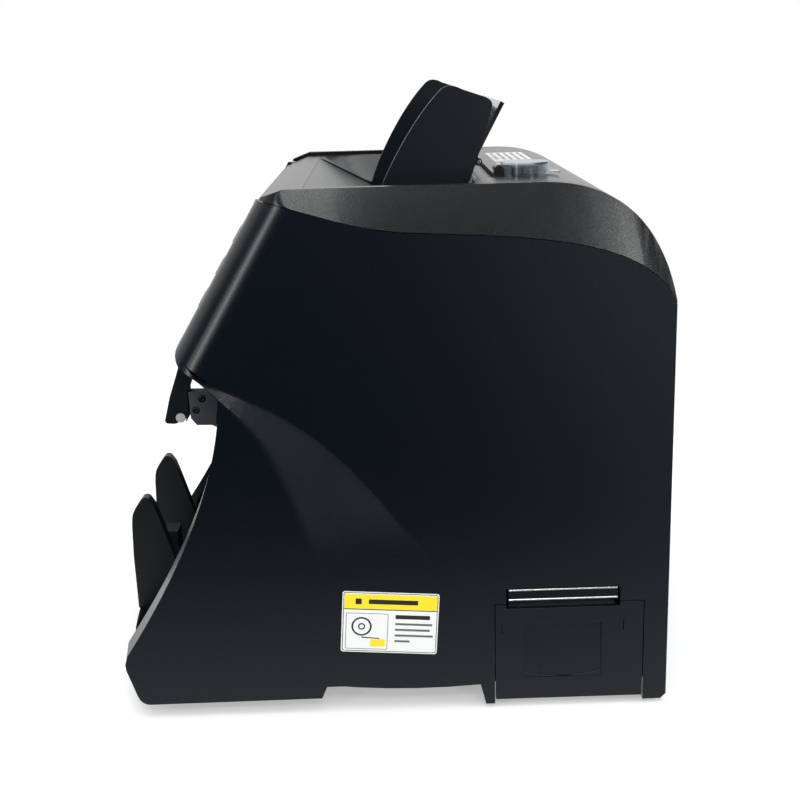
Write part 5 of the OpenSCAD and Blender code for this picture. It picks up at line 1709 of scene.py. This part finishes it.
@dataclass
class TopFittings(Assembly):
    """Knob, clear cover and the two stickers.

    Attributes:
        side_middle: Y and Z of the side sticker's middle.
        side_size: Width and height of the side sticker.
        side_tilt: Its tilt in degrees.
        drawing: Middle of the framed drawing on it, from the sticker's middle.
        roll: Middle of the roll in the drawing.
        header: Height of the header's middle above the sticker's middle.
        top_middle: X, Y and Z of the top sticker's middle.
        top_size: Width and height of the top sticker.
        thick: Thickness of the films in the CAD model.
        side_sunk: How much thinner the side film is, which leaves room for its inks.
        top_sunk: How much thinner the top film is.
        ink: Thickness of one layer of ink.
        root: How far an ink reaches into what lies below it.
        top_layer: Ink layers from the side film's height to the thicker top film's ink.
    """

    side_middle: Point2 = (-4.0, 53.5)
    side_size: Point2 = (53.0, 36.0)
    side_tilt: float = -4.0
    drawing: Point2 = (-12.6, -5.4)
    roll: Point2 = (-15.5, -2.6)
    header: float = 12.2
    top_middle: Point3 = (-37.5, 80.0, 290.3)
    top_size: Point2 = (75.0, 24.0)
    thick: float = 0.2
    side_sunk: float = 0.06
    top_sunk: float = 0.02
    ink: float = 0.012
    root: float = 0.02
    top_layer: int = 3

    def build(self) -> None:
        """Dresses the fittings and builds the stickers."""
        dress("knob_cover", self.finishes.clear, 0.25, 3)
        dress("gap_knob", self.finishes.grey, 0.2)
        self.films()
        self.side_print()
        self.top_print()

    def side_face(self) -> Face:
        """Gives the side sticker's back face, with its origin in the middle."""
        turn = math.radians(self.side_tilt)
        right = Vector((0, math.cos(turn), math.sin(turn)))
        return Face(at(FACE_X - self.thick, *self.side_middle), right, Vector((0, -right.z, right.y)))

    def top_face(self) -> Face:
        """Gives the top sticker's back face, with its origin in the middle."""
        return Face(at(*self.top_middle) - UP * self.thick * MM, ACROSS, ALONG)

    def films(self) -> None:
        """Cuts the two white films."""
        form = Form()
        form.plate(self.side_face(), rounded_box(*self.side_size, 1.4), 0, self.thick - self.side_sunk)
        form.plate(self.top_face(), rounded_box(*self.top_size, 0.8), 0, self.thick - self.top_sunk)
        form.finish("sticker_films", self.finishes.white, 0.04, 1, replaces=("labels",))

    def levels(self, layer: int = 0) -> Point2:
        """Gives the lower and the upper height of an ink above the film's back.

        Args:
            layer: How many ink layers it lies above the side film's face.

        Returns:
            Both heights in millimetres.
        """
        base = self.thick - self.side_sunk + layer * self.ink
        return base - self.root, base + self.ink

    def printed(self, name: str, face: Face, material: Material,
                shapes: Iterable[tuple[float, float, Outline]], layer: int = 0) -> None:
        """Prints plain shapes of one colour on a film.

        Args:
            name: Name of the piece.
            face: The film's back face.
            material: The ink.
            shapes: Middle and outline of each shape in millimetres.
            layer: How many ink layers they lie above the side film's face.
        """
        form = Form()
        for u, v, outline in shapes:
            form.plate(face, outline, *self.levels(layer), u, v)
        form.finish(name, material)

    def side_print(self) -> None:
        """Prints the side sticker: a border, a yellow header, plain bars and a drawing of a roll."""
        made, face, levels = self.finishes, self.side_face(), self.levels()
        width, height = self.side_size
        inside = width - 2.2
        form = Form()
        form.border(face, rounded_box(width - 1.2, height - 1.2, 1.1),
                    rounded_box(width - 2.0, height - 2.0, 0.8), *levels)
        form.border(face, rounded_box(23.2, 21.4, 0.6), rounded_box(22.6, 20.8, 0.4), *levels, *self.drawing)
        for radius, hole in ((5.6, 4.6), (2.0, 1.2)):
            form.border(face, disc(radius), disc(hole), *levels, *self.roll)
        form.finish("side_sticker_lines", made.ink)
        header = [(0, self.header, rounded_box(inside, 8.6, 0.7))]
        self.printed("side_sticker_header", face, made.yellow, header)
        self.printed("side_sticker_slot", face, made.yellow, [(-6.4, -12.2, rounded_box(8.2, 4.4, 0.3))])
        strip = [(-4.2, 0.4), (-3.6, -0.5), (6.2, -0.9), (6.2, -0.3), (-3.2, 0.2)]
        dark = [(1.5, self.header, rounded_box(27, 2.7, 0.4)), (0, 7.6, rounded_box(inside, 0.5, 0)),
                (-17.6, self.header, rounded_box(3.4, 3.4, 0.6)), (12.4, 3.6, rounded_box(19, 2.4, 0.4)),
                (-11.6, -8.9, strip)]
        self.printed("side_sticker_bars", face, made.ink, dark, 1)
        rows = ((20.4, -0.6), (19.2, -4.0), (21.0, -7.4), (8.4, -10.8))
        fine = [(2.9 + length / 2, v, rounded_box(length, 1.25, 0.3)) for length, v in rows]
        self.printed("side_sticker_fine_bars", face, made.grey_ink, fine, 1)

    def top_print(self) -> None:
        """Prints the top sticker: rows of plain bars."""
        rows = ((16, 22, 12), (24, 10, 18), (9, 20, 21), (28, 25), (12, 8, 26))
        bars = []
        for row, lengths in enumerate(rows):
            u = -34.0
            for length in lengths:
                bars.append((u + length / 2, 8.6 - row * 4.3, rounded_box(length, 2.0, 0.3)))
                u += length + 3.2
        self.printed("top_sticker_bars", self.top_face(), self.finishes.ink, bars, self.top_layer)


def main() -> None:
    """Builds the studio and every sub-assembly."""
    logging.basicConfig(level=logging.INFO, format="%(name)s: %(message)s")
    finishes = Finishes()
    Studio().build()
    for kind in (Casing, Hopper, StackerPocket, NoteTransport, ControlPanel, Electronics, Printer,
                 TopFittings):
        kind(finishes).build()
        LOG.info("finished %s", kind.__name__)


if __name__ == "__main__":
    main()
